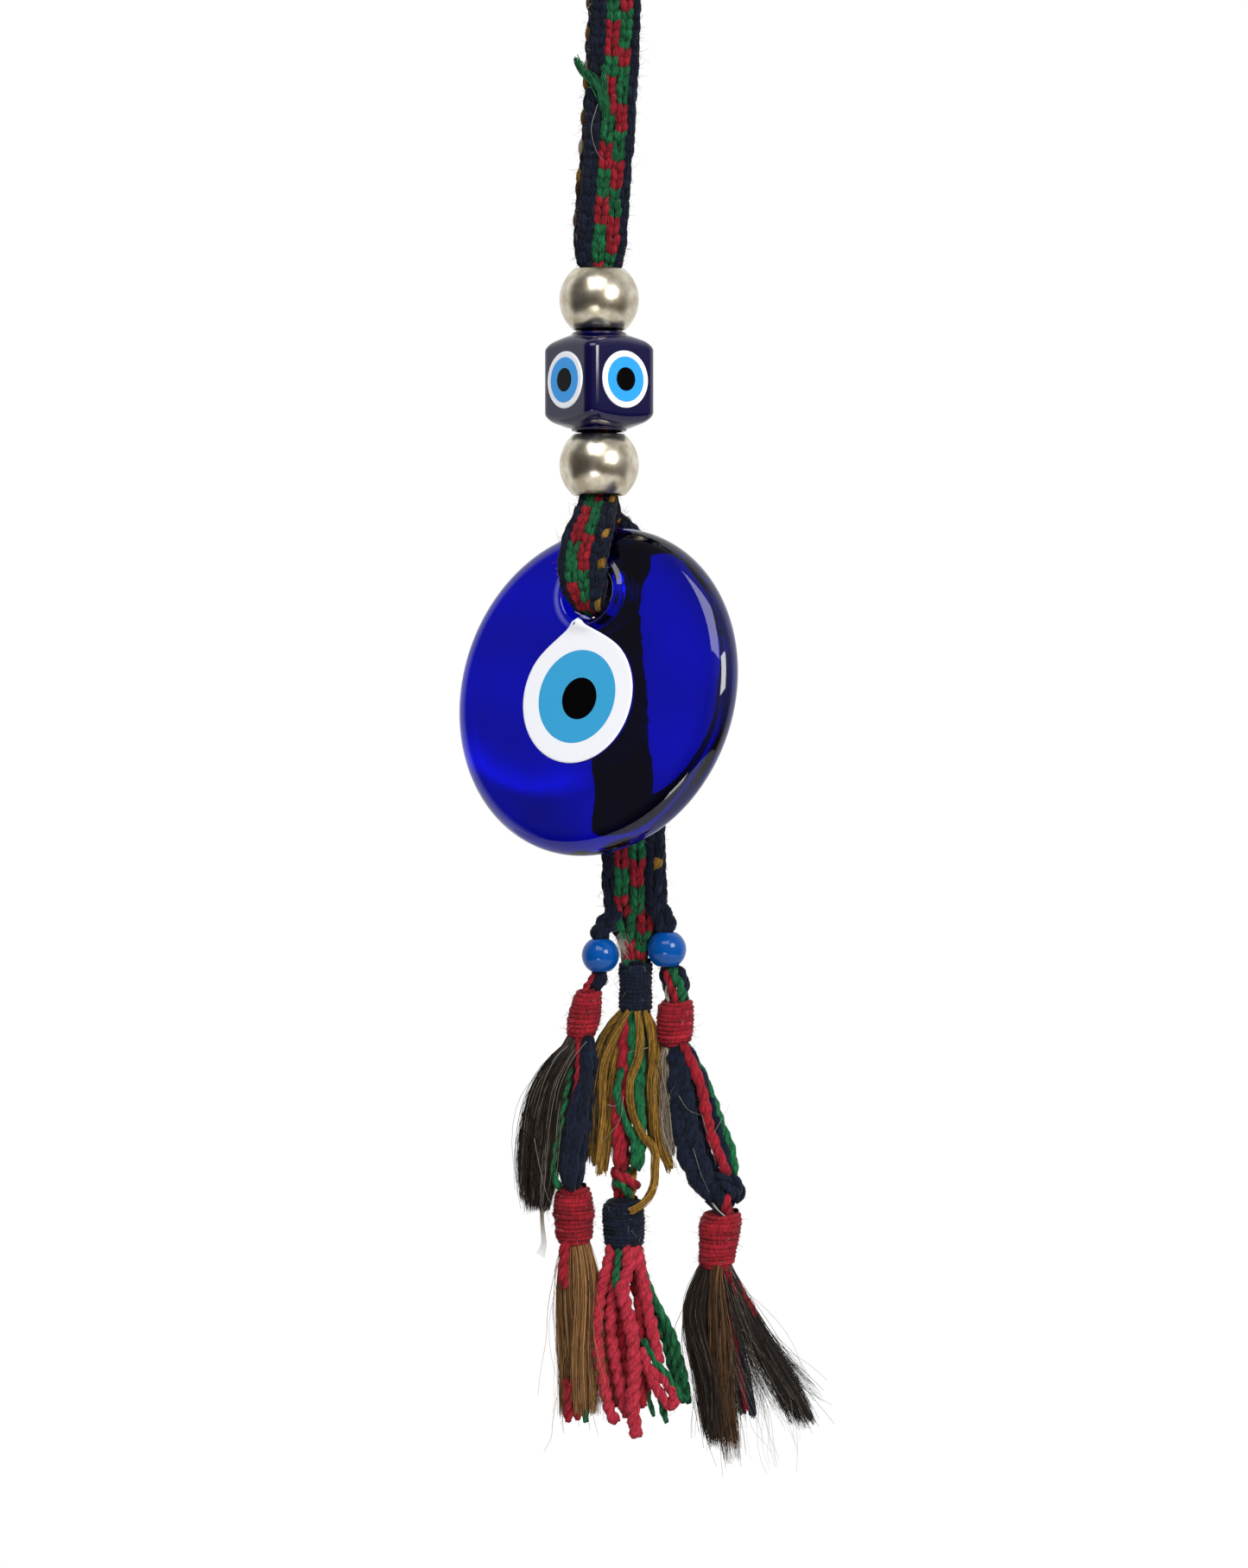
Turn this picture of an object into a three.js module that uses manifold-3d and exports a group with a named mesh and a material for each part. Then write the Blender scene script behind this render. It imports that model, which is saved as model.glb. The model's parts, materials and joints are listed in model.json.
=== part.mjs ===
// Evil eye wall hanging: a flat braided wool band that carries two metal beads, a glass cube bead,
// a large glass disc and three pairs of bound tassels.
// Millimetres, +Z up, the front faces -Y. The origin is where a nail holds the hanging loop up.
import * as THREE from 'three';
import * as BufferGeometryUtils from 'three/addons/utils/BufferGeometryUtils.js';
import Module from 'manifold-3d';

const wasm = await Module();
wasm.setup();

// ---- Driving dimensions ----------------------------------------------------------------------
const GAP = 0.3; // between pieces that touch or are set into each other

const BAND_WIDTH = 13.2;
const LAYER = 2.4; // thickness of one layer of the braid
const LAYER_Y = (LAYER + GAP) / 2; // each layer's distance from the middle of the doubled band
const SQUEEZED_WIDTH = 9.6; // where the wool is pulled through a bead
const SQUEEZED_LAYER = 2.1;

const LOOP_RADIUS = 7; // inner radius of the hanging loop at its top
const LOOP_BOTTOM = -34; // where the two layers come together below the loop

const BAND_BOTTOM = -166.8; // the doubled band ends in the mouth of the bottom bead
const BEAD_AXIS_X = -3.9; // the metal beads and the cube hang on this vertical line
const METAL_BEAD_RADIUS = 9.8;
const METAL_BEAD_HOLE = 6;
const TOP_BEAD_Z = -118.8;
const CUBE_Z = -139.1;
const BOTTOM_BEAD_Z = -159.5;

const CUBE_SIDE = 20.2;
const CUBE_CORNER = 1.8;
const CUBE_FACE_HEIGHT = 17.6; // flat part of each face
const CUBE_SHOULDER = 2.3; // rounded step from the faces in to each end
const CUBE_COLLAR = 0.7; // low ring of glass round each end of the hole
const CUBE_COLLAR_RADIUS = 6.9;
const CUBE_COLLAR_CHAMFER = 0.5;
const CUBE_HOLE = 5.7;
const CUBE_TURN = THREE.MathUtils.degToRad(37.7);
const CUBE_EYE = { white: 7, iris: 5.7, pupil: 3.1, depth: 1.1, proud: 0.3 };

const DISC_RADIUS = 40.9;
const DISC_THICKNESS = 10;
const DISC_CENTRE = new THREE.Vector3(-4.6, -6, -215.4);
const DISC_YAW = THREE.MathUtils.degToRad(-36);
const DISC_TILT = THREE.MathUtils.degToRad(-10.5);
const DISC_HOLE_RADIUS = 6.5;
const DISC_HOLE = { x: -1.8, z: 23.9 }; // on the disc's face, from its centre
const DISC_EYE = { x: -1.8, z: -2.3, roll: THREE.MathUtils.degToRad(7), iris: 11.6, pupil: 5, depth: 1.2 };
const TEARDROP = { radius: 16.6, tip: 20.2 }; // round part, and the tip's distance from its centre

const STRAP_TOP = -168.6; // the straps start here, just under the bottom bead
const STRAP_TOP_WIDTH = 8.8; // narrow enough to swing in the mouth of the bead's hole
const LOWER_BAND_TOP = -199;
const LOWER_BAND_BOTTOM = -270;
const FRINGE_Y = 3.6; // depth of the lower band's end, the small beads and the tassels

const BLUE_BEAD_HOLE = 2;
const LEFT_BEAD = { x: -3.6, y: 2.6, z: -280.4, radius: 4.7 };
const RIGHT_BEAD = { x: 12.8, y: 1.6, z: -278.9, radius: 4.9 };
const EDGE_CORD = 3.2; // diameter of the cords that carry the small beads

// ---- Helpers ---------------------------------------------------------------------------------
const v = (x, y, z) => new THREE.Vector3(x, y, z);
const SIDEWAYS = v(1, 0, 0);

function material(color, roughness, metalness = 0) {
  return new THREE.MeshStandardMaterial({ color, roughness, metalness });
}

function mesh(name, geometry, mat) {
  const piece = new THREE.Mesh(geometry, mat);
  piece.name = name;
  return piece;
}

// A closed three.js geometry as a solid that can be cut or joined.
function solid(geometry) {
  const bare = geometry.clone();
  bare.deleteAttribute('normal');
  bare.deleteAttribute('uv');
  const merged = BufferGeometryUtils.mergeVertices(bare, 1e-4);
  return new wasm.Manifold(new wasm.Mesh({
    numProp: 3,
    vertProperties: new Float32Array(merged.attributes.position.array),
    triVerts: new Uint32Array(merged.index.array),
  }));
}

function geometryOf(manifold) {
  const out = manifold.getMesh();
  const geometry = new THREE.BufferGeometry();
  geometry.setAttribute('position', new THREE.BufferAttribute(new Float32Array(out.vertProperties), 3));
  geometry.setIndex(new THREE.BufferAttribute(new Uint32Array(out.triVerts), 1));
  geometry.computeVertexNormals();
  return geometry;
}

// Points on an arc of a circle, as a lathe profile's (radius, height).
function arc(centreR, centreH, radius, from, to, steps) {
  return Array.from({ length: steps + 1 }, (_, i) => {
    const angle = from + (to - from) * i / steps;
    return new THREE.Vector2(centreR + radius * Math.cos(angle), centreH + radius * Math.sin(angle));
  });
}

// A lathe about the Z axis.
function turned(profile, segments) {
  return new THREE.LatheGeometry(profile, segments).rotateX(Math.PI / 2);
}

// A round bead with a hole along Z: the profile goes up the outside and closes down the hole.
function beadGeometry(radius, hole, segments, steps) {
  const end = Math.acos(hole / radius);
  const outside = arc(0, 0, radius, -end, end, steps);
  return turned([...outside, outside[0].clone()], segments);
}

// A plate with a flat outline in X and Z, from y = front back to y = front + depth.
function plate(shape, front, depth, curveSegments) {
  const geometry = new THREE.ExtrudeGeometry(shape, { depth, bevelEnabled: false, curveSegments });
  return geometry.rotateX(Math.PI / 2).translate(0, front + depth, 0);
}

function circle(radius) {
  return new THREE.Shape().absarc(0, 0, radius, 0, 2 * Math.PI);
}

function ring(shape, holeRadius) {
  shape.holes.push(new THREE.Path().absarc(0, 0, holeRadius, 0, 2 * Math.PI, true));
  return shape;
}

// A curve whose frames carry the band's own width, thickness and facing at each station.
class BandCurve extends THREE.CatmullRomCurve3 {
  constructor(stations) {
    super(stations.map((s) => s.at), false, 'centripetal');
    this.stations = stations;
  }

  computeFrenetFrames(steps) {
    const frames = { tangents: [], normals: [], binormals: [] };
    for (let i = 0; i <= steps; i += 1) {
      const along = this.getUtoTmapping(i / steps) * (this.stations.length - 1);
      const index = Math.min(Math.floor(along), this.stations.length - 2);
      const [from, to] = [this.stations[index], this.stations[index + 1]];
      const share = along - index;
      const tangent = this.getTangentAt(i / steps);
      const side = from.side.clone().lerp(to.side, share);
      side.addScaledVector(tangent, -side.dot(tangent)).normalize();
      const across = tangent.clone().cross(side);
      frames.tangents.push(tangent);
      frames.normals.push(side.multiplyScalar(THREE.MathUtils.lerp(from.width, to.width, share)));
      frames.binormals.push(across.multiplyScalar(THREE.MathUtils.lerp(from.thick, to.thick, share)));
    }
    return frames;
  }
}

// The band's section: one wide and one thick, with softened corners.
function bandSection() {
  const flat = 0.36; // half of the flat of each face
  const corner = 0.18; // half of the flat of each edge
  const shape = new THREE.Shape();
  shape.moveTo(-flat, -0.5);
  shape.lineTo(flat, -0.5);
  shape.lineTo(0.5, -corner);
  shape.lineTo(0.5, corner);
  shape.lineTo(flat, 0.5);
  shape.lineTo(-flat, 0.5);
  shape.lineTo(-0.5, corner);
  shape.lineTo(-0.5, -corner);
  shape.closePath();
  return shape;
}

function station(at, width = BAND_WIDTH, thick = LAYER, side = SIDEWAYS) {
  return { at, width, thick, side };
}

function band(stations, steps) {
  const extrudePath = new BandCurve(stations);
  return new THREE.ExtrudeGeometry(bandSection(), { steps, extrudePath, bevelEnabled: false });
}

// A round cord: an octagon swept along a smooth line through the points.
function cord(points, diameter, steps) {
  const section = new THREE.Shape();
  for (let i = 0; i < 8; i += 1) {
    const angle = i * Math.PI / 4;
    const at = [Math.cos(angle) * diameter / 2, Math.sin(angle) * diameter / 2];
    if (i === 0) section.moveTo(...at);
    else section.lineTo(...at);
  }
  section.closePath();
  const extrudePath = new THREE.CatmullRomCurve3(points, false, 'centripetal');
  return new THREE.ExtrudeGeometry(section, { steps, extrudePath, bevelEnabled: false });
}

// A soft bundle from top to bottom: at each level its middle (x, y) and its half width and half depth.
function bundle(levels, segments = 12) {
  const fromBottom = [...levels].reverse();
  const profile = fromBottom.map((level) => new THREE.Vector2(1, level.z));
  profile.unshift(new THREE.Vector2(0, profile[0].y));
  profile.push(new THREE.Vector2(0, profile[profile.length - 1].y));
  const geometry = turned(profile, segments);
  const position = geometry.attributes.position;
  for (let i = 0; i < position.count; i += 1) {
    const level = levels.find((l) => Math.abs(l.z - position.getZ(i)) < 1e-3);
    const y = level.y ?? FRINGE_Y;
    position.setXY(i, level.x + position.getX(i) * level.rx, y + position.getY(i) * level.ry);
  }
  geometry.computeVertexNormals();
  return geometry;
}

// Thread wound tightly round a bundle: a barrel with rounded ends between two points.
function wrapGeometry(bottom, top, radius, depth) {
  const height = top.clone().sub(bottom);
  const half = height.length() / 2;
  const edge = 0.9; // radius of the rounded ends
  const profile = [
    new THREE.Vector2(0, -half),
    ...arc(radius - edge, edge - half, edge, -Math.PI / 2, 0, 2),
    new THREE.Vector2(radius * 1.03, 0),
    ...arc(radius - edge, half - edge, edge, 0, Math.PI / 2, 2),
    new THREE.Vector2(0, half),
  ];
  const geometry = turned(profile, 20).scale(1, depth, 1);
  const lean = new THREE.Quaternion().setFromUnitVectors(v(0, 0, 1), height.clone().normalize());
  const middle = bottom.clone().add(top).multiplyScalar(0.5);
  return geometry.applyQuaternion(lean).translate(middle.x, middle.y, middle.z);
}

// ---- Materials -------------------------------------------------------------------------------
const navyWool = () => material(0x141b2b, 0.95);
const braidWool = () => material(0x5a2428, 0.95);
const redWool = () => material(0xb0202e, 0.9);
const greenWool = () => material(0x1b6b3f, 0.95);
const mustardWool = () => material(0x7a5a1a, 0.95);
const darkHair = () => material(0x1e1a18, 0.6);
const brownHair = () => material(0x7a5533, 0.6);
const greyHair = () => material(0x8b7d6e, 0.6);
const champagneMetal = () => material(0xc8c3b5, 0.2, 1);
const cobaltGlass = () => material(0x0a0aa0, 0.05);
const whiteGlass = () => material(0xdde6fa, 0.1);
const azureGlass = () => material(0x3aa3d6, 0.1);
const blackGlass = () => material(0x050508, 0.1);
const azureBead = () => material(0x0a72c8, 0.1);

// ---- The hanging band ------------------------------------------------------------------------
// The braid comes up through the beads, folds over at the top and goes back down in front.
function hangingLoop() {
  const over = LOOP_RADIUS + LAYER / 2;
  const bend = (angle) => v(0, -over * Math.cos(angle), -LOOP_RADIUS + over * Math.sin(angle));
  const shoulder = [0.25, 0.5, 0.75].map((share) => share * Math.PI);
  const stations = [
    v(0, -LAYER_Y, LOOP_BOTTOM),
    v(0, -LAYER_Y - 1.2, LOOP_BOTTOM + 6),
    v(0, -over + 1.4, LOOP_BOTTOM + 17),
    bend(0),
    ...shoulder.map(bend),
    bend(Math.PI),
    v(0, over - 1.4, LOOP_BOTTOM + 17),
    v(0, LAYER_Y + 1.2, LOOP_BOTTOM + 6),
    v(0, LAYER_Y, LOOP_BOTTOM),
  ].map((at) => station(at));
  return mesh('hanging_loop', band(stations, 40), braidWool());
}

function upperLayer(name, side) {
  const wide = [v(0, 0, LOOP_BOTTOM - GAP), v(0, 0, -50), v(-1, 0, -70), v(-2.6, 0, -92), v(-3.4, 0, -104)];
  const tight = [v(BEAD_AXIS_X, 0, -112), v(BEAD_AXIS_X, 0, -138), v(BEAD_AXIS_X, 0, BAND_BOTTOM)];
  const squeezedY = (SQUEEZED_LAYER + GAP) / 2;
  const stations = [
    ...wide.map((at) => station(at.setY(side * LAYER_Y))),
    ...tight.map((at) => station(at.setY(side * squeezedY), SQUEEZED_WIDTH, SQUEEZED_LAYER)),
  ];
  return mesh(name, band(stations, 26), braidWool());
}

// ---- The bead stack --------------------------------------------------------------------------
function metalBead(name, z) {
  const geometry = beadGeometry(METAL_BEAD_RADIUS, METAL_BEAD_HOLE, 40, 12);
  return mesh(name, geometry.translate(BEAD_AXIS_X, 0, z), champagneMetal());
}

function roundedSquare(side, corner) {
  const h = side / 2;
  const c = h - corner;
  const shape = new THREE.Shape();
  shape.moveTo(c, -h);
  shape.absarc(c, -c, corner, -Math.PI / 2, 0);
  shape.absarc(c, c, corner, 0, Math.PI / 2);
  shape.absarc(-c, c, corner, Math.PI / 2, Math.PI);
  shape.absarc(-c, -c, corner, Math.PI, 1.5 * Math.PI);
  return shape;
}

function cubeGlass() {
  const settings = {
    depth: CUBE_FACE_HEIGHT,
    bevelThickness: CUBE_SHOULDER,
    bevelSize: CUBE_SHOULDER,
    bevelOffset: -CUBE_SHOULDER,
    bevelSegments: 3,
    curveSegments: 3,
  };
  const outline = roundedSquare(CUBE_SIDE, CUBE_CORNER + CUBE_SHOULDER);
  const body = new THREE.ExtrudeGeometry(outline, settings);
  body.translate(0, 0, -CUBE_FACE_HEIGHT / 2);
  const end = CUBE_FACE_HEIGHT / 2 + CUBE_SHOULDER + CUBE_COLLAR;
  const collar = turned([
    new THREE.Vector2(0, -end),
    new THREE.Vector2(CUBE_COLLAR_RADIUS - CUBE_COLLAR_CHAMFER, -end),
    new THREE.Vector2(CUBE_COLLAR_RADIUS, CUBE_COLLAR_CHAMFER - end),
    new THREE.Vector2(CUBE_COLLAR_RADIUS, end - CUBE_COLLAR_CHAMFER),
    new THREE.Vector2(CUBE_COLLAR_RADIUS - CUBE_COLLAR_CHAMFER, end),
    new THREE.Vector2(0, end),
  ], 28);
  const hole = new THREE.CylinderGeometry(CUBE_HOLE, CUBE_HOLE, 2 * end + 2, 28).rotateX(Math.PI / 2);
  let glass = solid(body).add(solid(collar)).subtract(solid(hole));
  const front = -CUBE_SIDE / 2;
  for (let face = 0; face < 4; face += 1) {
    const pocket = plate(circle(CUBE_EYE.white + GAP), front - 1, CUBE_EYE.depth + 1, 14);
    glass = glass.subtract(solid(pocket.rotateZ(face * Math.PI / 2)));
  }
  return geometryOf(glass);
}

function cubeBead() {
  const group = new THREE.Group();
  group.position.set(BEAD_AXIS_X, 0, CUBE_Z);
  group.rotation.z = CUBE_TURN;
  group.add(mesh('cube_bead', cubeGlass(), cobaltGlass()));
  const front = -CUBE_SIDE / 2 - CUBE_EYE.proud;
  const thick = CUBE_EYE.proud + CUBE_EYE.depth - GAP;
  const layers = {
    white: [ring(circle(CUBE_EYE.white), CUBE_EYE.iris + GAP), whiteGlass],
    iris: [ring(circle(CUBE_EYE.iris), CUBE_EYE.pupil + GAP), azureGlass],
    pupil: [circle(CUBE_EYE.pupil), blackGlass],
  };
  for (let face = 0; face < 4; face += 1) {
    for (const [layer, [shape, glass]] of Object.entries(layers)) {
      const geometry = plate(shape, front, thick, 10).rotateZ(face * Math.PI / 2);
      group.add(mesh(`cube_eye_${layer}_${face + 1}`, geometry, glass()));
    }
  }
  return group;
}

// ---- The glass disc --------------------------------------------------------------------------
// A round outline drawn out to a point at the top; grow widens it evenly.
function teardrop(grow) {
  const radius = TEARDROP.radius + grow;
  const tip = TEARDROP.tip + grow * 1.3;
  const leave = Math.PI / 5; // where the sides leave the round part, above the horizontal
  const x = radius * Math.cos(leave);
  const z = radius * Math.sin(leave);
  const rise = (tip - z) * 0.55; // from there to each side's control point
  const controlX = x - rise * Math.tan(leave);
  const shape = new THREE.Shape();
  shape.absarc(0, 0, radius, Math.PI - leave, leave, false);
  shape.quadraticCurveTo(controlX, z + rise, 0, tip);
  shape.quadraticCurveTo(-controlX, z + rise, -x, z);
  return shape;
}

function discGlass(eyeFrame) {
  const rim = DISC_THICKNESS / 2;
  const profile = [
    new THREE.Vector2(0, -rim),
    ...arc(DISC_RADIUS - rim, 0, rim, -Math.PI / 2, Math.PI / 2, 10),
    new THREE.Vector2(0, rim),
  ];
  const hole = new THREE.CylinderGeometry(DISC_HOLE_RADIUS, DISC_HOLE_RADIUS, 3 * DISC_THICKNESS, 32);
  hole.translate(DISC_HOLE.x, 0, DISC_HOLE.z);
  const pocket = plate(teardrop(GAP), -rim - 1, DISC_EYE.depth + 1 + GAP, 24).applyMatrix4(eyeFrame);
  const pressed = solid(new THREE.LatheGeometry(profile, 64));
  return geometryOf(pressed.subtract(solid(hole)).subtract(solid(pocket)));
}

function glassDisc() {
  const group = new THREE.Group();
  group.position.copy(DISC_CENTRE);
  group.rotation.set(DISC_TILT, 0, DISC_YAW, 'ZXY');
  const eyeFrame = new THREE.Matrix4().makeRotationY(DISC_EYE.roll).setPosition(DISC_EYE.x, 0, DISC_EYE.z);
  const front = -DISC_THICKNESS / 2;
  const layers = {
    white: [ring(teardrop(0), DISC_EYE.iris + GAP), whiteGlass],
    iris: [ring(circle(DISC_EYE.iris), DISC_EYE.pupil + GAP), azureGlass],
    pupil: [circle(DISC_EYE.pupil), blackGlass],
  };
  group.add(mesh('disc_glass', discGlass(eyeFrame), cobaltGlass()));
  for (const [layer, [shape, glass]] of Object.entries(layers)) {
    const geometry = plate(shape, front, DISC_EYE.depth, 24).applyMatrix4(eyeFrame);
    group.add(mesh(`disc_eye_${layer}`, geometry, glass()));
  }
  return group;
}

// ---- The straps that hold the disc, and the lower band ----------------------------------------
const DISC_AXES = new THREE.Matrix4().makeRotationFromEuler(new THREE.Euler(DISC_TILT, 0, DISC_YAW, 'ZXY'));
const ACROSS_DISC = v(1, 0, 0).applyMatrix4(DISC_AXES);
const HALF_TURNED = v(0.92, -0.39, 0); // between sideways and across the disc

// A point given from the disc's hole: right and up on its face, and ahead of its mid plane.
function byTheHole(right, up, ahead) {
  const local = v(DISC_HOLE.x + right, -ahead, DISC_HOLE.z + up);
  return local.applyMatrix4(DISC_AXES).add(DISC_CENTRE);
}

function frontStrap() {
  const bunched = [6.8, 3];
  const stations = [
    station(v(BEAD_AXIS_X - 0.5, -1.8, STRAP_TOP), STRAP_TOP_WIDTH, SQUEEZED_LAYER),
    station(v(-5.6, -4.9, -173), 11, LAYER, HALF_TURNED),
    station(byTheHole(0, 12.4, 8), 12, LAYER, ACROSS_DISC),
    station(byTheHole(0, 8, 7.7), 12, LAYER, ACROSS_DISC),
    station(byTheHole(0, 4, 7.2), 10, LAYER, ACROSS_DISC),
    station(byTheHole(0, 0.8, 4.6), ...bunched, ACROSS_DISC),
    station(byTheHole(0, 0, 0), ...bunched, ACROSS_DISC),
    station(byTheHole(0, 0, -5.5), ...bunched, ACROSS_DISC),
    station(byTheHole(0.5, -1.5, -7), 8, LAYER, ACROSS_DISC),
  ];
  return mesh('front_strap', band(stations, 30), braidWool());
}

function backStrap() {
  const stations = [
    station(v(BEAD_AXIS_X + 0.5, 1.8, STRAP_TOP), STRAP_TOP_WIDTH, SQUEEZED_LAYER),
    station(v(-2.4, 6.8, -173), 11, LAYER, HALF_TURNED),
    station(byTheHole(2, 11.5, -9.4), BAND_WIDTH, LAYER, ACROSS_DISC),
    station(v(3.2, 7.9, -190), BAND_WIDTH, LAYER, ACROSS_DISC),
    station(v(2.6, 8.3, LOWER_BAND_TOP + 1.6), BAND_WIDTH, LAYER, ACROSS_DISC),
  ];
  return mesh('back_strap', band(stations, 14), braidWool());
}

function lowerBand() {
  const stations = [
    station(v(2.6, 8, LOWER_BAND_TOP), BAND_WIDTH, LAYER, ACROSS_DISC),
    station(v(3.8, 6.6, -220), BAND_WIDTH, LAYER, HALF_TURNED),
    station(v(4.7, 4.6, -245), BAND_WIDTH, LAYER, SIDEWAYS),
    station(v(4.9, FRINGE_Y, LOWER_BAND_BOTTOM), BAND_WIDTH, LAYER, SIDEWAYS),
  ];
  return mesh('lower_band', band(stations, 16), braidWool());
}

function bandTongue() {
  const stations = [
    station(v(4.5, FRINGE_Y, LOWER_BAND_BOTTOM - GAP), 6.2, LAYER),
    station(v(4.8, FRINGE_Y, -281.3), 6.2, LAYER),
  ];
  return mesh('band_tongue', band(stations, 3), redWool());
}

// ---- Small beads and the cords they are threaded on --------------------------------------------
function blueBead(name, bead) {
  const geometry = beadGeometry(bead.radius, BLUE_BEAD_HOLE, 26, 9);
  return mesh(name, geometry.translate(bead.x, bead.y, bead.z), azureBead());
}

function leftEdgeCord() {
  const { x, y, z } = LEFT_BEAD;
  const points = [
    v(-0.5, FRINGE_Y, LOWER_BAND_BOTTOM - 2),
    v(-2.6, FRINGE_Y - 0.4, -274),
    v(x, y, z + 4),
    v(x, y, z - 4),
    v(-4.6, FRINGE_Y - 0.4, -286.6),
    v(-5.9, FRINGE_Y, -288.6),
  ];
  return mesh('left_edge_cord', cord(points, EDGE_CORD, 14), navyWool());
}

function rightEdgeCord() {
  const { x, y, z } = RIGHT_BEAD;
  const points = [
    v(10.6, FRINGE_Y - 0.4, LOWER_BAND_BOTTOM - 2),
    v(12.3, FRINGE_Y - 1.5, -273),
    v(x, y, z + 4.8),
    v(x, y, z - 4.6),
  ];
  return mesh('right_edge_cord', cord(points, EDGE_CORD, 14), navyWool());
}

function rightLinkBraid() {
  const points = [v(13.4, 2.2, -285.6), v(14.8, 3, -287.6), v(14.9, FRINGE_Y, -290.7)];
  return mesh('right_link_braid', cord(points, 5.6, 4), greenWool());
}

// ---- Bound tassels ---------------------------------------------------------------------------
const end = (x, z) => v(x, FRINGE_Y, z);
const WRAPS = {
  centre_upper_wrap: { bottom: end(5.1, -295), top: end(5.1, -281.8), radius: 4, wool: navyWool },
  left_upper_wrap: { bottom: end(-8.5, -301), top: end(-6.4, -289.2), radius: 3.6, wool: redWool },
  right_upper_wrap: { bottom: end(14.7, -302.7), top: end(15.1, -291.2), radius: 4.1, wool: redWool },
  left_lower_wrap: { bottom: end(-10, -351.6), top: end(-10.4, -337.4), radius: 4.6, wool: redWool },
  centre_lower_wrap: { bottom: end(2.4, -352.9), top: end(1.9, -340.6), radius: 4.8, wool: navyWool },
  right_lower_wrap: { bottom: end(25, -357.2), top: end(26.4, -344), radius: 4.8, wool: redWool },
};
const WRAP_DEPTH = 0.85; // front to back, as a share of the width

function wraps() {
  return Object.entries(WRAPS).map(([name, { bottom, top, radius, wool }]) => (
    mesh(name, wrapGeometry(bottom, top, radius, WRAP_DEPTH), wool())
  ));
}

// Each bundle starts narrow under its wrap, so that it can swing there, and spreads below.
const level = (z, x, rx, ry, y = FRINGE_Y) => ({ z, x, rx, ry, y });
const BUNDLES = {
  left_hair_tuft: [darkHair, [
    level(-302.4, -10.4, 1.6, 0.8), level(-308, -13.2, 3.4, 2.6), level(-318, -16.4, 4.6, 3.6),
    level(-330, -19, 4.9, 3.6), level(-338, -20.2, 3.9, 2.8), level(-343, -20.4, 2.4, 1.4),
  ]],
  left_yarn_strands: [navyWool, [
    level(-302.4, -7.2, 1.3, 0.8), level(-308, -7.5, 1.9, 2.4), level(-320, -9, 2.8, 3),
    level(-328, -9.8, 3, 2.8), level(-334, -10.2, 2.6, 1.8), level(-336.4, -10.4, 2.2, 0.8),
  ]],
  left_lower_tassel: [brownHair, [
    level(-352.8, -10, 3.6, 2.6), level(-362, -9.9, 4.4, 3.4), level(-378, -9.7, 4.6, 3.6),
    level(-388, -9.6, 4.5, 3.2), level(-395, -9.6, 3.4, 2),
  ]],
  centre_mustard_left: [mustardWool, [
    level(-296.4, 1.6, 0.8, 0.8), level(-302, -0.6, 1.6, 2.6), level(-318, -2.4, 2.2, 3.4),
    level(-330, -3, 1.8, 2.8), level(-335, -3, 1.2, 1.6),
  ]],
  centre_core_yarns: [redWool, [
    level(-296.4, 4.6, 1.9, 0.8), level(-302, 4.4, 2.8, 2.6), level(-318, 4.2, 3.6, 3.2),
    level(-328, 3.4, 3.3, 2.8), level(-333, 2.6, 3, 2.4),
  ]],
  centre_mustard_right: [mustardWool, [
    level(-296.4, 7.8, 0.8, 0.8), level(-302, 8.8, 1, 2.6), level(-318, 9.3, 1.1, 3.2),
    level(-329, 9.2, 1.1, 2.6), level(-334, 9.2, 0.8, 1.4),
  ]],
  centre_lower_tassel: [redWool, [
    level(-354.1, 2.4, 3.9, 2.8), level(-364, 3.2, 5.4, 3.6), level(-378, 3.6, 6.6, 3.8),
    level(-390, 3.8, 6.2, 3.4), level(-398, 3.4, 4.4, 2),
  ]],
  centre_green_yarns: [greenWool, [
    level(-354.1, 7, 0.4, 1), level(-364, 9.5, 0.6, 2), level(-376, 11.8, 1.1, 2.4),
    level(-388, 13.3, 1.7, 2.4), level(-395, 13.8, 1.4, 1.4),
  ]],
  right_hair_tuft: [greyHair, [
    level(-304.1, 12.6, 0.8, 0.8), level(-310, 12.6, 1.5, 2.6), level(-322, 12.6, 1.6, 3),
    level(-329, 12.8, 1, 1.6),
  ]],
  right_yarn_strands: [navyWool, [
    level(-304.1, 16, 1.8, 0.8), level(-310, 17.6, 2.9, 2.8), level(-318, 20.4, 4.4, 3.4),
    level(-326, 24.2, 4.9, 3.2), level(-331, 26.8, 4, 2.8), level(-333.6, 27.8, 3, 2.2),
  ]],
  right_knot: [navyWool, [
    level(-334.1, 28.2, 1.8, 1.8), level(-335.4, 28.2, 3.3, 3.1), level(-338, 28.2, 3.9, 3.6),
    level(-340.6, 27.8, 3.3, 2.4), level(-342.8, 27, 1.6, 0.8),
  ]],
  right_lower_tassel: [darkHair, [
    level(-358.4, 24.8, 3.8, 2.8), level(-366, 24.8, 6.2, 3.6), level(-378, 27, 9.8, 4),
    level(-388, 31.4, 14, 3.8), level(-394, 33, 15.6, 3.2), level(-403, 30, 7, 2),
  ]],
};

function bundles() {
  return Object.entries(BUNDLES).map(([name, [mat, levels]]) => mesh(name, bundle(levels), mat()));
}

// The yarns are tied in a small flat knot above the centre's lower wrap.
function centreKnot() {
  const levels = [
    level(-333.4, 2.6, 2.2, 1.8), level(-334.8, 2.6, 3.5, 3), level(-337, 2.4, 3.7, 2.8),
    level(-339.4, 2, 2.2, 0.8),
  ];
  return mesh('centre_knot', bundle(levels), redWool());
}

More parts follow.
